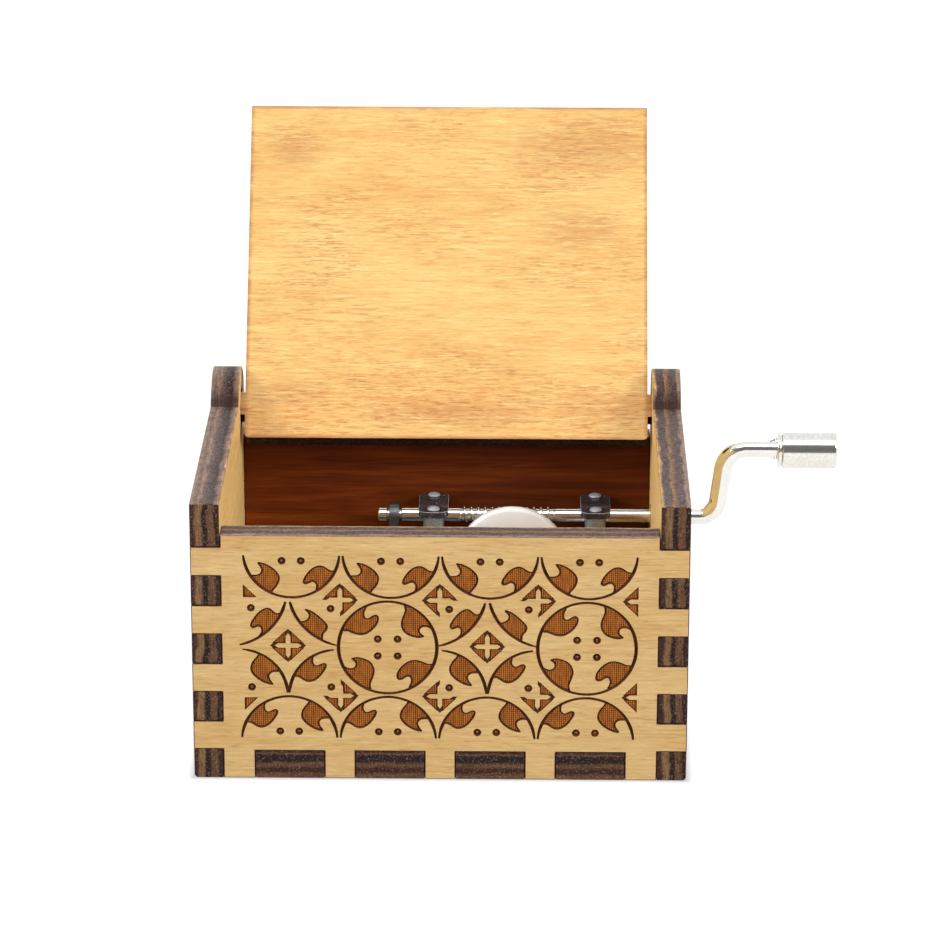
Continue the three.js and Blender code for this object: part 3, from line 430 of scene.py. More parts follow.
# Outlines of the leaves, in radii of the circle that they grow from. Each pair is a pointed
# leaf of the lower left quarter and a round leaf of the upper left one; the quarters across
# take them turned half round.
LEAVES = {
    "ring": ([
        (-0.903, -0.402), (-0.845, -0.457), (-0.761, -0.479), (-0.678, -0.461), (-0.636, -0.402),
        (-0.636, -0.336), (-0.668, -0.292), (-0.726, -0.25), (-0.726, -0.25), (-0.636, -0.226),
        (-0.511, -0.248), (-0.386, -0.303), (-0.314, -0.391), (-0.282, -0.501), (-0.299, -0.611),
        (-0.345, -0.721), (-0.372, -0.809), (-0.361, -0.876), (-0.345, -0.919),
    ], [
        (-0.42, 0.89), (-0.483, 0.786), (-0.492, 0.683), (-0.449, 0.613), (-0.368, 0.622),
        (-0.286, 0.688), (-0.214, 0.694), (-0.186, 0.628), (-0.219, 0.513), (-0.322, 0.382),
        (-0.46, 0.292), (-0.592, 0.282), (-0.724, 0.331), (-0.827, 0.374), (-0.905, 0.358),
    ]),
    "row": ([
        (-0.83, -0.515), (-0.735, -0.525), (-0.657, -0.5), (-0.602, -0.431), (-0.614, -0.348),
        (-0.691, -0.237), (-0.691, -0.237), (-0.582, -0.256), (-0.453, -0.318), (-0.333, -0.415),
        (-0.256, -0.532), (-0.266, -0.644), (-0.315, -0.745), (-0.388, -0.824), (-0.425, -0.89),
    ], [
        (-0.505, 0.862), (-0.528, 0.792), (-0.531, 0.715), (-0.49, 0.645), (-0.42, 0.633),
        (-0.352, 0.67), (-0.29, 0.695), (-0.248, 0.672), (-0.262, 0.602), (-0.318, 0.505),
        (-0.385, 0.415), (-0.475, 0.34), (-0.575, 0.302), (-0.66, 0.315), (-0.738, 0.37),
        (-0.815, 0.42), (-0.9, 0.417),
    ]),
    "star": ([
        (-0.81, -0.575), (-0.743, -0.569), (-0.686, -0.539), (-0.65, -0.477), (-0.663, -0.421),
        (-0.722, -0.357), (-0.722, -0.357), (-0.629, -0.39), (-0.524, -0.47), (-0.426, -0.569),
        (-0.371, -0.644), (-0.397, -0.717), (-0.446, -0.765), (-0.462, -0.821), (-0.455, -0.885),
    ], [
        (-0.525, 0.845), (-0.589, 0.777), (-0.6, 0.699), (-0.564, 0.644), (-0.507, 0.644),
        (-0.45, 0.678), (-0.413, 0.651), (-0.423, 0.595), (-0.491, 0.482), (-0.58, 0.386),
        (-0.67, 0.34), (-0.727, 0.355), (-0.784, 0.413), (-0.841, 0.447), (-0.905, 0.415),
    ]),
}
LEAF_QUARTERS = {"lower_left": (0, 1), "upper_right": (0, -1), "upper_left": (1, 1), "lower_right": (1, -1)}
QUARTERS = {"ur": (1, 1), "ul": (-1, 1), "ll": (-1, -1), "lr": (1, -1)}


def rounded(points):
    """A closed outline with its corners cut twice, so that it runs smoothly."""
    for _ in range(2):
        points = [
            (a[0] * (1 - t) + b[0] * t, a[1] * (1 - t) + b[1] * t)
            for a, b in zip(points, points[1:] + points[:1]) for t in (0.25, 0.75)
        ]
    return points


def pocket(shape, outline, rims=None):
    """Sinks a flat outline into the front. One with a rim has a hatched floor."""
    loop = [shape.verts.new((x, FRONT + POCKET, z)) for x, z in outline]
    edges = [shape.edges.new((a, b)) for a, b in zip(loop, loop[1:] + loop[:1])]
    ground = bmesh.ops.contextual_create(shape, geom=edges)["faces"][0]
    copy = bmesh.ops.extrude_face_region(shape, geom=[ground], use_keep_orig=True)["geom"]
    top = [g for g in copy if isinstance(g, bmesh.types.BMVert)]
    bmesh.ops.translate(shape, vec=(0, -POCKET - OVERSHOOT, 0), verts=top)
    if rims is not None:
        ground.material_index = 1
        rims.append(outline)


def rim_grooves(shape, outlines):
    """Cuts a narrow deep groove along each outline."""
    line = bpy.data.curves.new("rims", "CURVE")
    line.dimensions = "3D"
    line.bevel_depth = RIM
    line.bevel_resolution = 1
    for outline in outlines:
        spline = line.splines.new("POLY")
        spline.points.add(len(outline) - 1)
        for point, (x, z) in zip(spline.points, outline):
            point.co = (x, 0, z, 1)
        spline.use_cyclic_u = True
    holder = bpy.data.objects.new("rims", line)
    tubes = holder.to_mesh()
    tubes.transform(Matrix.Translation((0, FRONT, 0)) @ Matrix.Scale(RIM_STRETCH, 4, (0, 1, 0)))
    shape.from_mesh(tubes)
    holder.to_mesh_clear()
    bpy.data.objects.remove(holder)
    bpy.data.curves.remove(line)


def groove(shape, middle, radius, start, end):
    """A line round part of a circle, broad where it runs upright and thin where it lies."""
    start, sweep = math.radians(start), math.radians(end - start)
    whole = end - start == 360
    before = set(shape.verts)
    first = (middle[0] + radius * math.cos(start), FRONT, middle[1] + radius * math.sin(start))
    ring = bmesh.ops.create_circle(shape, segments=8, radius=1, matrix=(
        Matrix.Translation(first) @ Matrix.Rotation(-start, 4, "Y")))["verts"]
    hoops = list({e for v in ring for e in v.link_edges})
    bmesh.ops.spin(shape, geom=ring + hoops, cent=(middle[0], FRONT, middle[1]), axis=(0, -1, 0),
                   angle=sweep, steps=round(sweep * radius * STEPS_A_MM), use_merge=whole)
    for v in set(shape.verts) - before:
        out = Vector((v.co.x - middle[0], v.co.z - middle[1]))
        spine = out.normalized() * radius
        half = LINE_HALF + LINE_SWELL * (spine.x / radius) ** 2
        part = ((math.atan2(out.y, out.x) - start + 0.01) % (2 * math.pi)) / sweep
        if not whole:
            half *= 0.6 + 0.4 * min(1, part / LINE_TAPER, max(0, 1 - part) / LINE_TAPER)
        v.co.x, v.co.z = Vector(middle) + spine + (out - spine) * half
        v.co.y = FRONT + (v.co.y - FRONT) * (half + LINE_DEEPER)
    bmesh.ops.holes_fill(shape, edges=[e for e in shape.edges if e.is_boundary])


def leaf(shape, middle, radius, kind, quarter, rims):
    """One comma leaf, its back on the scroll's line."""
    which, side = LEAF_QUARTERS[quarter]
    points = LEAVES[kind][which]
    heel, toe = (math.atan2(z, x) for x, z in (points[0], points[-1]))
    back = [toe + (heel - toe) * k / 6 for k in range(1, 6)]
    outline = points + [(math.cos(a), math.sin(a)) for a in back]
    moved = [(middle[0] + side * radius * x, middle[1] + side * radius * z) for x, z in outline]
    pocket(shape, rounded(moved), rims)


def lozenge(shape, middle, rims, quarters=tuple(QUARTERS), tips="all"):
    """A small lozenge round a pale cross: a triangle in each quarter, joined at the tips."""
    reach, arm, shoulder, tip = 2.32, 0.4, 1.25, 1.72
    for quarter in quarters:
        sx, sz = QUARTERS[quarter]
        triangle = [(arm, arm), (arm * 0.9, reach - arm * 0.9), (reach - arm * 0.9, arm * 0.9)]
        beside = [(shoulder - 0.1, arm), (reach - arm * 1.1, arm), (reach, 0), (tip, 0)]
        above = [(z, x) for x, z in beside]
        chosen = [triangle]
        if tips == "all":
            chosen += [beside, above]
        elif tips == "side":
            chosen += [beside]
        for outline in chosen:
            moved = [(middle[0] + sx * x, middle[1] + sz * z) for x, z in outline]
            pocket(shape, moved, rims if outline is triangle else None)


def dot(shape, middle, rims):
    """A round spot with a lighter middle."""
    inner, outer = (
        [(middle[0] + radius * math.cos(math.pi * k / 8), middle[1] + radius * math.sin(math.pi * k / 8))
         for k in range(16)]
        for radius in (0.3, 0.39))
    pocket(shape, outer, rims)
    rims.append(inner)


def columns(row):
    """The middles of a row's four circles, sideways."""
    return [row[0] + row[3] * (k - 1.5) for k in range(4)]


cutter = bmesh.new()
rims = []
upper, central, lower = ROWS
for row, start, names, spots in (
    (upper, 184, ("lower_left", "lower_right"), 30.17),
    (lower, 4, ("upper_left", "upper_right"), 6.6),
):
    for x in columns(row):
        groove(cutter, (x, row[1]), row[2], start, start + 172)
        for name in names:
            leaf(cutter, (x, row[1]), row[2], "row", name, rims)
        for side in (-1.23, 1.23):
            dot(cutter, (x + side, spots), rims)
for k, x in enumerate(columns(central)):
    z, radius = central[1], central[2]
    if k % 2:
        groove(cutter, (x, z), radius, 0, 360)
        for name in LEAF_QUARTERS:
            leaf(cutter, (x, z), radius, "ring", name, rims)
        for side, rise in ((-1.28, -1.17), (-1.28, 1.17), (1.28, -1.17), (1.28, 1.17)):
            dot(cutter, (x + side, z + rise), rims)
        continue
    lozenge(cutter, (x, z + 0.2), rims)
    for side, above_name, below_name, above_start, below_start in (
        (1, "lower_left", "upper_left", 193, 95), (-1, "lower_right", "upper_right", 283, 3),
    ):
        above, below = (x + side * ABOVE_OUT, ABOVE_HEIGHT), (x + side * BELOW_OUT, BELOW_HEIGHT)
        groove(cutter, above, ABOVE_RADIUS, above_start, above_start + 64)
        groove(cutter, below, BELOW_RADIUS, below_start, below_start + 82)
        leaf(cutter, above, ABOVE_RADIUS, "star", above_name, rims)
        leaf(cutter, below, BELOW_RADIUS, "row", below_name, rims)
for x, gap in ((-12.85, -1), (-0.02, 1), (12.6, -1)):
    for rise, up in ((24.85, -1), (11.6, 1)):
        lozenge(cutter, (x, rise), rims, [q for q, s in QUARTERS.items() if s != (gap, up)])
        dot(cutter, (x + 1.2 * gap, rise + 1.2 * up), rims)
for rise, up, quarter in ((24.85, -1, "ur"), (11.6, 1, "lr")):
    lozenge(cutter, (-25.6, rise), rims, [quarter], "none")
    dot(cutter, (-24.3, rise + 1.15 * up), rims)
    lozenge(cutter, (25.75, rise), rims, ["ul", "ll"], "side")
rim_grooves(cutter, rims)
bmesh.ops.recalc_face_normals(cutter, faces=cutter.faces)

char_line, char_tree, char_shader = new_finish("engraved_line", 0.7, specular=0.2)
char_spot = place_on(char_tree)
char_noise = noise(char_tree, char_spot, 1.5, 4.0)
char_tree.links.new(ramp(char_tree, char_noise, (0.3, colour(56, 24, 7)), (0.7, colour(92, 45, 15))),
                    char_shader.inputs["Base Color"])
bumped(char_tree, char_shader, char_noise, 0.4, 0.03)

hatched, hatch_tree, hatch_shader = new_finish("engraved_hatch", 0.7, specular=0.2)
hatch_spot = place_on(hatch_tree)
hatch_axes = add(hatch_tree, "ShaderNodeSeparateXYZ", {0: hatch_spot}).outputs
uprights, crossings = [
    math_of(hatch_tree, "SINE", math_of(hatch_tree, "MULTIPLY", hatch_axes[axis], 2 * math.pi / HATCH_STEP))
    for axis in (0, 2)]
lattice = math_of(hatch_tree, "ADD", uprights, math_of(hatch_tree, "MULTIPLY", crossings, 0.6))
ragged = noise(hatch_tree, hatch_spot, (3.5, 3.5, 0.8), 3.0)
line_share = math_of(hatch_tree, "ADD", lattice, between(hatch_tree, ragged, 0.3, 0.7, -0.6, 0.6))
hatch_tone = mixed(
    hatch_tree, between(hatch_tree, line_share, -1.1, 1.1), colour(182, 106, 32), colour(72, 32, 6))
hatch_tree.links.new(hatch_tone, hatch_shader.inputs["Base Color"])
bumped(hatch_tree, hatch_shader, lattice, 0.5, 0.04)

front_edge = burnt_edge("front_edge", 1, FRONT, END_PLIES)
front_top = burnt_edge("front_top", 1, FRONT, TOP_PLIES[:-2] + ((0.92, PALE), (1.0, BROWN)))
front = cad_copy("front_panel")
soften(front, EDGE_WEAR)
burn_edges(front, Vector((0, 1, 0)), top=33)
front_piece = finished(front, "front_panel_ply", "case", ["front_panel"],
                       [front_veneer, front_edge, front_top, char_line, hatched])
bmesh.ops.scale(cutter, vec=(MM,) * 3, verts=cutter.verts)
cutter_mesh = bpy.data.meshes.new("ornament_cutter")
cutter.to_mesh(cutter_mesh)
cutter.free()
cutter_mesh.materials.append(char_line)
cutter_mesh.materials.append(hatched)
cutter_piece = placed("ornament_cutter", cutter_mesh)
engrave = front_piece.modifiers.new("engrave", "BOOLEAN")
engrave.operation = "DIFFERENCE"
engrave.solver = "EXACT"
engrave.use_self = True
engrave.material_mode = "TRANSFER"
engrave.object = cutter_piece
bpy.context.view_layer.update()
carved = bpy.data.meshes.new_from_object(front_piece.evaluated_get(bpy.context.evaluated_depsgraph_get()))
front_piece.modifiers.clear()
front_piece.data = carved
carved.shade_flat()
bpy.data.objects.remove(cutter_piece)


# Back panel: the same plywood stained dark brown, which makes the box's inside look deep.
# It stops short of the lid's edge, so that the lid can turn past it.
stained, stain_tree, stain_shader = new_finish("dark_stain", 0.5, specular=0.15)
stain_spot = place_on(stain_tree)
stain_bands = noise(stain_tree, stain_spot, (0.04, 0.5, 0.5), 4.0, 0.6, 0.5)
stain_fibres = noise(stain_tree, stain_spot, (0.12, 4.0, 4.0), 5.0, 0.7)
stain_tone = ramp(stain_tree, stain_bands, (0.3, colour(74, 27, 4)), (0.52, colour(112, 48, 9)),
                  (0.72, colour(142, 70, 18)))
dark_fibres = between(stain_tree, stain_fibres, 0.4, 0.72, 0.0, 0.6)
stain_tone = mixed(stain_tree, dark_fibres, stain_tone, colour(52, 16, 3))
# Towards the right-hand end the stain turns darker still: painted shade across the back wall.
stain_x = add(stain_tree, "ShaderNodeSeparateXYZ", {0: stain_spot}).outputs[0]
painted_shade_right = between(stain_tree, stain_x, -12, 24, 0.0, 0.45)
stain_tone = mixed(stain_tree, painted_shade_right, stain_tone, colour(60, 18, 3))
stain_tree.links.new(stain_tone, stain_shader.inputs["Base Color"])
bumped(stain_tree, stain_shader, stain_fibres, 0.5, 0.02)
back_edge = burnt_edge("back_edge", 1, HALF_DEPTH - PLY, END_PLIES, flip=True)
back = cad_copy("back_panel")
soften(back, EDGE_WEAR)
burn_edges(back, Vector((0, 1, 0)))
finished(back, "back_panel_ply", "case", ["back_panel"], [stained, back_edge])


# Lid: plywood with a warmer, livelier veneer, varnished, and scorched a little along its cut
# edges. It turns on two square tabs in the side panels' ears and stands open, leaning back.
LID_OPEN = math.radians(124)
HINGE = (0, 19.7, 35.7)
SCORCH_SIDES, SCORCH_FRONT, SCORCH_BACK = (27.0, 27.55), (-42.7, -43.2), (4.3, 4.8)
lid_finish, lid_tree, lid_shader = new_finish("lid_veneer", 0.42, specular=0.4)
lid_spot = place_on(lid_tree, HINGE, LID_OPEN)
lid_axes = add(lid_tree, "ShaderNodeSeparateXYZ", {0: lid_spot}).outputs
lid_broad = noise(lid_tree, lid_spot, (0.03, 0.11, 0.11), 3.0, 0.55, 0.9)
lid_bands = noise(lid_tree, lid_spot, (0.05, 0.75, 0.75), 5.0, 0.65, 0.7)
lid_fibres = noise(lid_tree, lid_spot, (0.2, 4.6, 4.6), 5.0, 0.72, 0.15)
lid_ticks = noise(lid_tree, lid_spot, (0.5, 4.4, 4.4), 4.0, 0.68, 0.5)
lid_threads = noise(lid_tree, lid_spot, (0.3, 3.4, 3.4), 4.0, 0.7, 0.4)
lid_patch = noise(lid_tree, lid_spot, (0.06, 0.13, 0.13), 2.0, 0.5, 0.7)


def dark_figure(x, y, width, depth):
    """A soft patch on the lid, measured from the hinge: 1 at its middle, 0 at its rim."""
    kind, scale = "ShaderNodeVectorMath", (1 / width, 1 / depth, 0)
    offset = add(lid_tree, kind, {0: lid_spot, 1: (x, y, 0)}, operation="SUBTRACT").outputs[0]
    scaled = add(lid_tree, kind, {0: offset, 1: scale}, operation="MULTIPLY").outputs[0]
    spread = add(lid_tree, kind, {0: scaled}, operation="LENGTH").outputs["Value"]
    return between(lid_tree, spread, 1.0, 0.2)


figures = 0.0
for spot in (
    (-20.5, -1.6, 5.5, 2.4), (21.0, 0.6, 8.0, 3.6), (18.0, -25.5, 8.0, 4.0),
    (19.0, -37.5, 14.0, 5.0), (-21.0, -37.0, 5.0, 4.0), (2.0, 1.5, 16.0, 3.0),
):
    figures = math_of(lid_tree, "MAXIMUM", figures, dark_figure(*spot))
near_hinge = between(lid_tree, lid_axes[1], -11, -5, 0.0, 0.12)
lively = math_of(lid_tree, "ADD", lid_patch, near_hinge)
lively = math_of(lid_tree, "ADD", lively, between(lid_tree, figures, 0, 1, 0.0, 0.14))
lively = between(lid_tree, lively, 0.43, 0.66, 0.22, 1.0)
lid_tone = mixed(
    lid_tree, between(lid_tree, lid_broad, 0.36, 0.68), colour(213, 182, 109), colour(202, 162, 88))
for pattern, low, high, most, tint in (
    (lid_bands, 0.46, 0.74, 0.6, colour(208, 146, 76)),
    (lid_fibres, 0.4, 0.72, 0.5, colour(202, 144, 76)),
    (lid_threads, 0.5, 0.7, 0.5, colour(196, 130, 62)),
    (lid_threads, 0.44, 0.3, 0.5, colour(244, 216, 152)),
):
    lid_tone = mixed(lid_tree, between(lid_tree, pattern, low, high, 0.0, most), lid_tone, tint)
ticks = math_of(lid_tree, "MULTIPLY", between(lid_tree, lid_ticks, 0.48, 0.66, 0.0, 0.8), lively)
lid_tone = mixed(lid_tree, ticks, lid_tone, colour(168, 92, 34))
browned = math_of(lid_tree, "MULTIPLY", figures, between(lid_tree, lid_threads, 0.3, 0.6, 0.1, 0.42))
lid_tone = mixed(lid_tree, browned, lid_tone, colour(160, 92, 38))
scorch_x = between(lid_tree, math_of(lid_tree, "ABSOLUTE", lid_axes[0]), *SCORCH_SIDES)
scorch_front = between(lid_tree, lid_axes[1], *SCORCH_FRONT)
scorch_back = between(lid_tree, lid_axes[1], *SCORCH_BACK)
scorch = math_of(lid_tree, "MAXIMUM", scorch_x, math_of(lid_tree, "MAXIMUM", scorch_front, scorch_back))
scorch = math_of(lid_tree, "MULTIPLY", scorch, between(lid_tree, lid_bands, 0.35, 0.6, 0.25, 0.9))
lid_tone = mixed(lid_tree, scorch, lid_tone, colour(150, 84, 38))
lid_tree.links.new(lid_tone, lid_shader.inputs["Base Color"])
lid_tree.links.new(between(lid_tree, lid_fibres, 0.3, 0.7, 0.34, 0.5), lid_shader.inputs["Roughness"])
bumped(lid_tree, lid_shader, lid_fibres, 0.5, 0.02)
lid_edge = burnt_edge("lid_edge", 2, -PLY / 2, LID_PLIES, HINGE, LID_OPEN)
lid = cad_copy("lid")
soften(lid, EDGE_WEAR)
burn_edges(lid, Vector((0, -math.sin(LID_OPEN), -math.cos(LID_OPEN))))
finished(lid, "lid_ply", "lid", ["lid"], [lid_finish, lid_edge])


# Bedplate: one zinc die casting with the pedestals that carry the shaft and the upright that
# carries the arbor. Castings keep a fine sandy skin with slightly rounded corners.
def metal(name, shade, dark, roughness, grain=2.0, relief=0.01, metallic=1.0):
    """Metal whose tone and gloss vary a little with a fine grain."""
    material, tree, shader = new_finish(name, roughness, metallic=metallic)
    spot = place_on(tree)
    skin = noise(tree, spot, grain, 5.0, 0.65)
    cloud = noise(tree, spot, 0.16, 3.0, 0.5, 0.6)
    tone = mixed(tree, between(tree, skin, 0.35, 0.7), shade, dark)
    tone = mixed(tree, between(tree, cloud, 0.4, 0.7, 0.0, 0.5), tone, dark)
    gloss = between(tree, skin, 0.3, 0.7, roughness * 0.8, roughness * 1.3)
    tree.links.new(tone, shader.inputs["Base Color"])
    tree.links.new(gloss, shader.inputs["Roughness"])
    bumped(tree, shader, skin, 0.4, relief)
    return material


def dressed(nodes, suffix, body, finish, width, smooth=40, segments=2):
    """Gives castings and pressings their rounded corners and finish."""
    for node in nodes:
        shape = cad_copy(node)
        soften(shape, width, segments=segments)
        finished(shape, node + suffix, body, [node], [finish], smooth)


zinc = metal("zinc_casting", colour(168, 174, 176), colour(128, 134, 138), 0.45, 3.0, 0.03, 0.7)
dressed(["bedplate"], "_casting", "case", zinc, 0.18)


# Comb and bracket: the comb is ground from a spring steel plate and sawn into 18 teeth; the
# bracket is folded from strip. Both show the fine parallel lines of grinding.
ground_steel = metal(
    "ground_steel", colour(196, 198, 202), colour(158, 160, 165), 0.28, (0.6, 14.0, 4.0), 0.006)
dressed(["comb"], "_steel", "case", ground_steel, 0.05)
dressed(["cylinder_bracket"], "_steel", "case", ground_steel, 0.12)


# Screws: slotted pan heads hold the comb and the bracket, bright plated; three blackened
# countersunk ones come up through the floor into the casting.
plated = metal("plated_steel", colour(214, 212, 208), colour(182, 180, 176), 0.2, 4.0, 0.004)
blackened = metal("blackened_steel", colour(120, 124, 128), colour(84, 88, 92), 0.42, 3.0, 0.01)
pan_heads = ["comb_screw_1", "comb_screw_2", "bracket_screw_1", "bracket_screw_2"]
countersunk = ["mounting_screw_1", "mounting_screw_2", "mounting_screw_3"]
dressed(pan_heads, "_plated", "case", plated, 0.07)
dressed(countersunk, "_black", "case", blackened, 0.07)
dressed(["shaft_clip"], "_black", "case", blackened, 0.1)


# Bearing caps: moulded in smoky clear plastic, with a raised glossy rim all round, each held
# by two rivets with domed heads. The rim's sloping faces are painted a paler grey, a painted highlight.
smoky, smoky_tree, smoky_shader = new_finish(
    "smoky_plastic", 0.08, others={"IOR": 1.49, "Transmission Weight": 0.82})
smoky_spot = place_on(smoky_tree)
smoky_cloud = noise(smoky_tree, smoky_spot, 0.7, 3.0)
smoky_tone = ramp(smoky_tree, smoky_cloud, (0.35, colour(96, 92, 98)), (0.7, colour(128, 126, 132)))
smoky_tree.links.new(smoky_tone, smoky_shader.inputs["Base Color"])
bumped(smoky_tree, smoky_shader, noise(smoky_tree, smoky_spot, 1.2, 2.0), 0.15, 0.01)
rim_painted_highlight, rim_tree, rim_shader = new_finish("rim_painted_highlight", 0.15, others={"Transmission Weight": 0.25})
rim_cloud = noise(rim_tree, place_on(rim_tree), 1.5, 3.0)
rim_highlight_tone = ramp(rim_tree, rim_cloud, (0.3, colour(150, 150, 158)), (0.7, colour(196, 196, 204)))
rim_tree.links.new(rim_highlight_tone, rim_shader.inputs["Base Color"])
for node in ("bearing_cap_left", "bearing_cap_right"):
    cap = cad_copy(node)
    soften(cap, 0.16, segments=3)
    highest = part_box(node)[1].z / MM
    # Sloping faces round the top take the paler rim finish: a painted highlight.
    for face in cap.faces:
        sloping, near_top = 0.15 < abs(face.normal.z) < 0.99, face.calc_center_median().z > highest - 0.2
        face.material_index = int(sloping and near_top)
    finished(cap, node + "_moulded", "case", [node], [smoky, rim_painted_highlight], 40)


def spun(shape, profile, axis, centre, steps=64, long=0.6, inset=0.07):
    """Turns a profile about an axis. Its points are radius, then place along the axis.

    Long stretches get a point near each end, so that their shading stays even.
    """
    along = Vector(axis)
    out = Vector((0, 0, 1)) if abs(along.z) < 0.5 else Vector((1, 0, 0))
    outline = [profile[0]]
    for start, end in zip(profile, profile[1:]):
        length = math.dist(start, end)
        if length > long:
            outline += [(start[0] + (end[0] - start[0]) * s, start[1] + (end[1] - start[1]) * s)
                        for s in (inset / length, 1 - inset / length)]
        outline.append(end)
    points = [shape.verts.new(Vector(centre) + out * radius + along * place) for radius, place in outline]
    edges = [shape.edges.new(pair) for pair in zip(points, points[1:])]
    bmesh.ops.spin(shape, geom=points + edges, cent=centre, axis=along,
                   angle=2 * math.pi, steps=steps, use_merge=True)


def closed_up(shape):
    """Merges doubled corners and turns every face outwards."""
    bmesh.ops.remove_doubles(shape, verts=shape.verts, dist=0.0005)
    bmesh.ops.recalc_face_normals(shape, faces=shape.faces)


rivet_satin = metal(
    "rivet_satin", colour(178, 182, 188), colour(146, 150, 156), 0.5, 4.0, 0.006, 0.4)
for side in ("left", "right"):
    for end in ("front", "rear"):
        node = f"cap_rivet_{side}_{end}"
        lowest, highest = (Vector(corner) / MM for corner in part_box(node))
        middle, low, high = (lowest + highest) / 2, lowest.z, highest.z
        head = high - 0.4
        dome = [(0.86 * math.cos(a), head + 0.06 + 0.34 * math.sin(a)) for a in
                (math.radians(k) for k in range(0, 91, 10))]
        rivet = bmesh.new()
        stem = [(0, low), (0.5, low), (0.6, low + 0.1), (0.6, head), (0.8, head), (0.86, head + 0.04)]
        spun(rivet, stem + dome[1:-1] + [(0, high)], (0, 0, 1), (middle.x, middle.y, 0), 40)
        closed_up(rivet)
        finished(rivet, node + "_domed", "case", [node], [rivet_satin])


# Worm shaft: ground and nickel plated steel, with a head and a neck for the clip at its left
# end and a single right-hand thread cut in its middle; the crank's spigot enters the right end.
SHAFT_Y, SHAFT_Z = 17.8, 20.9
PITCH, CREST, CORE = 0.96, 1.35, 1.0
WORM_START, WORM_END, MESH_X, STEPS_A_TURN = 2.4, 14.6, 9.2, 32
bright = metal("bright_nickel", colour(244, 242, 238), colour(228, 225, 219), 0.13, (1.0, 9.0, 9.0), 0.002)
shaft = bmesh.new()
phase = -math.pi / 2 + 2 * math.pi * (WORM_START - PITCH - (MESH_X - PITCH / 2)) / PITCH
section = [(-PITCH / 2, CORE), (-0.23, CORE), (-0.19, CORE + 0.05), (-0.12, CREST - 0.04), (-0.07, CREST),
           (0.07, CREST), (0.12, CREST - 0.04), (0.19, CORE + 0.05), (0.23, CORE), (PITCH / 2, CORE)]
out = Vector((0, math.cos(phase), math.sin(phase)))
thread_start = Vector((WORM_START - PITCH, SHAFT_Y, SHAFT_Z))
thread = [shaft.verts.new(thread_start + Vector((along, 0, 0)) + out * radius) for along, radius in section]
ridge = [shaft.edges.new(pair) for pair in zip(thread, thread[1:])]
turns = (WORM_END - WORM_START) / PITCH + 2
steps = round(turns * STEPS_A_TURN)
bmesh.ops.spin(shaft, geom=thread + ridge, cent=(0, SHAFT_Y, SHAFT_Z), axis=(1, 0, 0),
               dvec=(PITCH / STEPS_A_TURN, 0, 0), angle=2 * math.pi * steps / STEPS_A_TURN, steps=steps)
bmesh.ops.remove_doubles(shaft, verts=shaft.verts, dist=0.004)
for cut, outwards in ((WORM_START - 0.3, -1), (WORM_END + 0.3, 1)):
    bmesh.ops.bisect_plane(shaft, geom=shaft.verts[:] + shaft.edges[:] + shaft.faces[:],
                           plane_co=(cut, 0, 0), plane_no=(outwards, 0, 0), clear_outer=True)
    open_end = [e for e in shaft.edges if e.is_boundary and abs(e.verts[0].co.x - cut) < 0.01]
    bmesh.ops.holes_fill(shaft, edges=open_end)
left_end = [(0, -9.4), (0.8, -9.4), (0.97, -9.35), (1.05, -9.23), (1.05, -8.2), (0.97, -8.1), (0.7, -8.1),
            (0.7, -6.2), (0.97, -6.2), (1.05, -6.1), (1.05, 1.96), (0.98, 2.12), (0, 2.12)]
right_end = [(0, 14.88), (0.98, 14.88), (1.05, 15.04), (1.05, 29.38), (0.97, 29.5), (0.75, 29.5),
             (0.75, 26.1), (0, 26.1)]
for profile in (left_end, right_end):
    spun(shaft, profile, (1, 0, 0), (0, SHAFT_Y, SHAFT_Z))
closed_up(shaft)
finished(shaft, "worm_shaft_threaded", "crank", ["worm_shaft"], [bright], 50)


# Crank: nickel plated wire, bent up and out again, pressed into the shaft at one end. The
# knob is held between two flattened ears and the wire's headed end.
WIRE, THROW, LEAN = 1.2, 9.9, math.radians(7)
LOW_BEND, HIGH_BEND, LOW_X = 2.5, 3.4, 37.2
WIRE_START, WIRE_END = 29.8, 52.6
EAR_SIZE, EAR_X, EAR_OUT, EAR_TAPER = (1.3, 0.8, 0.95), 44.52, 1.17, 0.75
turn = math.pi / 2 - LEAN
low_x = LOW_X - LOW_BEND * math.tan(turn / 2)
high_x = LOW_X + THROW * math.tan(LEAN) + HIGH_BEND * math.tan(turn / 2)
rise = THROW / math.cos(LEAN) - (LOW_BEND + HIGH_BEND) * math.tan(turn / 2)


def drawn(shape, rim, move):
    """Draws the wire's open end out in a straight line."""
    grown = bmesh.ops.extrude_edge_only(shape, edges=rim)["geom"]
    bmesh.ops.translate(shape, vec=move, verts=[g for g in grown if isinstance(g, bmesh.types.BMVert)])
    return [g for g in grown if isinstance(g, bmesh.types.BMEdge)]


def bent(shape, rim, centre, angle, steps=20):
    """Bends the wire's open end on round a centre."""
    corners = list({v for e in rim for v in e.verts})
    swept = bmesh.ops.spin(shape, geom=corners + rim, cent=centre, axis=(0, -1, 0),
                           angle=angle, steps=steps)
    return [g for g in swept["geom_last"] if isinstance(g, bmesh.types.BMEdge)]


crank = bmesh.new()
facing_right = Matrix.Rotation(math.pi / 2, 4, "Y")
ring = bmesh.ops.create_circle(crank, segments=28, radius=WIRE, matrix=(
    Matrix.Translation((WIRE_START, SHAFT_Y, SHAFT_Z)) @ facing_right))["verts"]
rim = list({e for v in ring for e in v.link_edges})
rim = drawn(crank, rim, (low_x - WIRE_START, 0, 0))
rim = bent(crank, rim, (low_x, SHAFT_Y, SHAFT_Z + LOW_BEND), turn)
rim = drawn(crank, rim, (rise * math.sin(LEAN), 0, rise * math.cos(LEAN)))
rim = bent(crank, rim, (high_x, SHAFT_Y, SHAFT_Z + THROW - HIGH_BEND), -turn)
rim = drawn(crank, rim, (WIRE_END - high_x, 0, 0))
bmesh.ops.holes_fill(crank, edges=[e for e in crank.edges if e.is_boundary])
spigot = [(0, 26.4), (0.45, 26.4), (0.55, 26.5), (0.55, 30.4), (0, 30.4)]
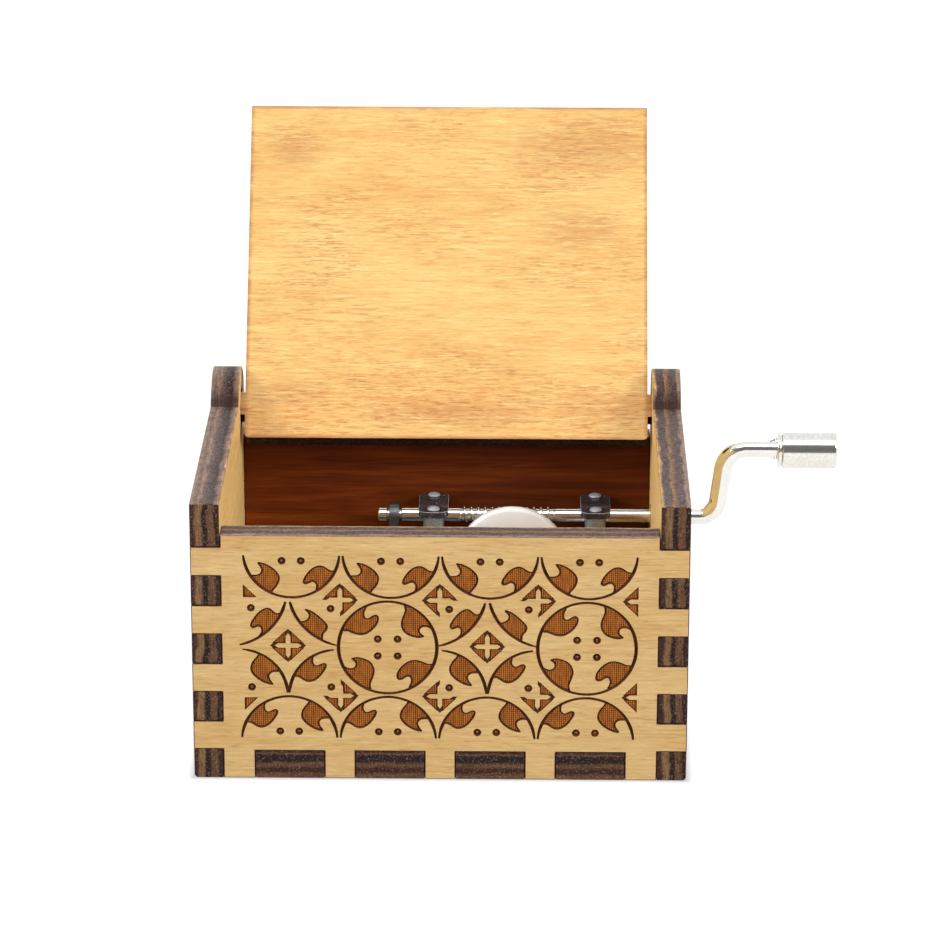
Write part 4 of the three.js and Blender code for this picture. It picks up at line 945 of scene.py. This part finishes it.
spun(crank, spigot, (1, 0, 0), (0, SHAFT_Y, SHAFT_Z), 32)
KNOB_Z = SHAFT_Z + THROW
wire_head = [(0, 52.5), (1.65, 52.5), (1.75, 52.6), (1.75, 53.05), (1.6, 53.2), (0, 53.2)]
spun(crank, wire_head, (1, 0, 0), (0, SHAFT_Y, KNOB_Z), 40)
for side in (-1, 1):
    ear = bmesh.ops.create_cube(crank, size=1)["verts"]
    bmesh.ops.scale(crank, vec=EAR_SIZE, verts=ear)
    bmesh.ops.translate(crank, vec=(EAR_X, SHAFT_Y, KNOB_Z + side * EAR_OUT), verts=ear)
    for v in ear:
        if v.co.x < EAR_X and (v.co.z - KNOB_Z) * side > EAR_OUT:
            v.co.z -= side * EAR_TAPER
    corners = list({e for v in ear for e in v.link_edges})
    bmesh.ops.bevel(crank, geom=corners, offset=0.1, segments=2, profile=0.5, affect="EDGES", material=-1)
closed_up(crank)
finished(crank, "crank_rod_bent", "crank", ["crank_rod"], [bright], 40)


# Knob: a metal sleeve turned on a lathe and plated, with a thin rim and a groove at the
# crank's side. It spins loosely on the wire.
turned_nickel = metal(
    "turned_nickel", colour(244, 242, 236), colour(220, 217, 210), 0.15, 2.6, 0.004)
thin_rim = [(1.5, 45.42), (2.45, 45.42), (2.6, 45.47), (2.65, 45.58), (2.65, 45.75), (2.6, 45.85)]
groove_floor = [(2.27, 45.88), (2.27, 46.02)]
barrel = [(2.5, 46.03), (2.68, 46.1), (2.73, 46.24), (2.73, 53.28), (2.68, 53.42), (2.52, 53.5)]
bore = [(2.15, 53.5), (2.05, 53.4), (2.05, 52.2), (1.5, 52.2), (1.5, 45.42)]
knob = bmesh.new()
spun(knob, thin_rim + groove_floor + barrel + bore, (1, 0, 0), (0, SHAFT_Y, KNOB_Z), 72)
closed_up(knob)
finished(knob, "crank_knob_turned", "knob", ["crank_knob"], [turned_nickel], 40)


# Cylinder: a brass tube with its steel pins set in rows under the comb's teeth, pressed on
# two brass discs, which sit on the arbor.
CYLINDER_Z, DRUM, TUNE_BEATS, TEETH, TOOTH_STEP = 15.4997, 6.5, 96, 18, 1.03
PIN_MIDDLE, PIN_FOOT, PIN_TIP, PIN_LENGTH = 0.15, 0.17, 0.14, 0.7
drum_low, drum_high = (corner.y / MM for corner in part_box("pinned_cylinder"))
drum_middle = (drum_low + drum_high) / 2
brass = metal("polished_brass", colour(218, 182, 96), colour(188, 148, 66), 0.2, (0.8, 6.0, 0.8), 0.004)
pin_steel = metal("pin_steel", colour(200, 196, 186), colour(160, 156, 148), 0.25, 5.0, 0.002)
drum = bmesh.new()
tube = [(6.0, drum_low), (6.42, drum_low), (DRUM, drum_low + 0.08), (DRUM, drum_high - 0.08),
        (6.42, drum_high), (6.0, drum_high), (6.0, drum_low)]
spun(drum, tube, (0, 1, 0), (MESH_X, 0, CYLINDER_Z), 120)
for beat in range(TUNE_BEATS):
    if beat % 16 == 15:
        continue
    tooth = (beat * 7 + beat // 5 * 3) % TEETH
    lean = Matrix.Rotation(2 * math.pi * beat / TUNE_BEATS, 4, "Y")
    middle = Vector((MESH_X, drum_middle + (tooth - (TEETH - 1) / 2) * TOOTH_STEP, CYLINDER_Z))
    standing = Matrix.Translation(middle) @ lean @ Matrix.Translation((0, 0, DRUM + PIN_MIDDLE))
    pin = bmesh.ops.create_cone(
        drum, cap_ends=True, segments=8, radius1=PIN_FOOT, radius2=PIN_TIP, depth=PIN_LENGTH,
        matrix=standing)["verts"]
    for face in {f for v in pin for f in v.link_faces}:
        face.material_index = 1
closed_up(drum)
finished(drum, "pinned_cylinder_brass", "cylinder", ["pinned_cylinder"], [brass, pin_steel])
for end in ("front", "rear"):
    node = f"cylinder_disc_{end}"
    low, high = (corner.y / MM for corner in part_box(node))
    plate = [(1.0, low), (5.8, low), (5.9, low + 0.1), (5.9, high - 0.1), (5.8, high),
             (1.0, high), (1.0, low)]
    disc = bmesh.new()
    spun(disc, plate, (0, 1, 0), (MESH_X, 0, CYLINDER_Z), 96)
    closed_up(disc)
    finished(disc, node + "_brass", "cylinder", [node], [brass])
low, high = (corner.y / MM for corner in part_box("cylinder_arbor"))
arbor = bmesh.new()
spun(arbor, [(0, low), (0.7, low), (0.9, low + 0.2), (0.9, high - 0.2), (0.7, high), (0, high)],
     (0, 1, 0), (MESH_X, 0, CYLINDER_Z), 40)
closed_up(arbor)
finished(arbor, "cylinder_arbor_turned", "cylinder", ["cylinder_arbor"], [plated])


# Worm wheel: white moulded nylon, a disc in front of 27 teeth that the worm turns one at a
# time. Its faces are satin and its edges slightly rounded.
nylon, nylon_tree, nylon_shader = new_finish("white_nylon", 0.4, others={
    "Coat Weight": 0.5, "Coat Roughness": 0.3,
    "Subsurface Weight": 0.8, "Subsurface Radius": (1.0, 1.0, 1.0), "Subsurface Scale": 2 * MM})
nylon_spot = place_on(nylon_tree)
nylon_cloud = noise(nylon_tree, nylon_spot, 0.5, 3.0)
nylon_tone = ramp(nylon_tree, nylon_cloud, (0.3, colour(255, 255, 255)), (0.75, colour(250, 250, 248)))
nylon_tree.links.new(nylon_tone, nylon_shader.inputs["Base Color"])
bumped(nylon_tree, nylon_shader, noise(nylon_tree, nylon_spot, 3.0, 3.0), 0.2, 0.01)
dressed(["worm_wheel"], "_nylon", "cylinder", nylon, 0.05)
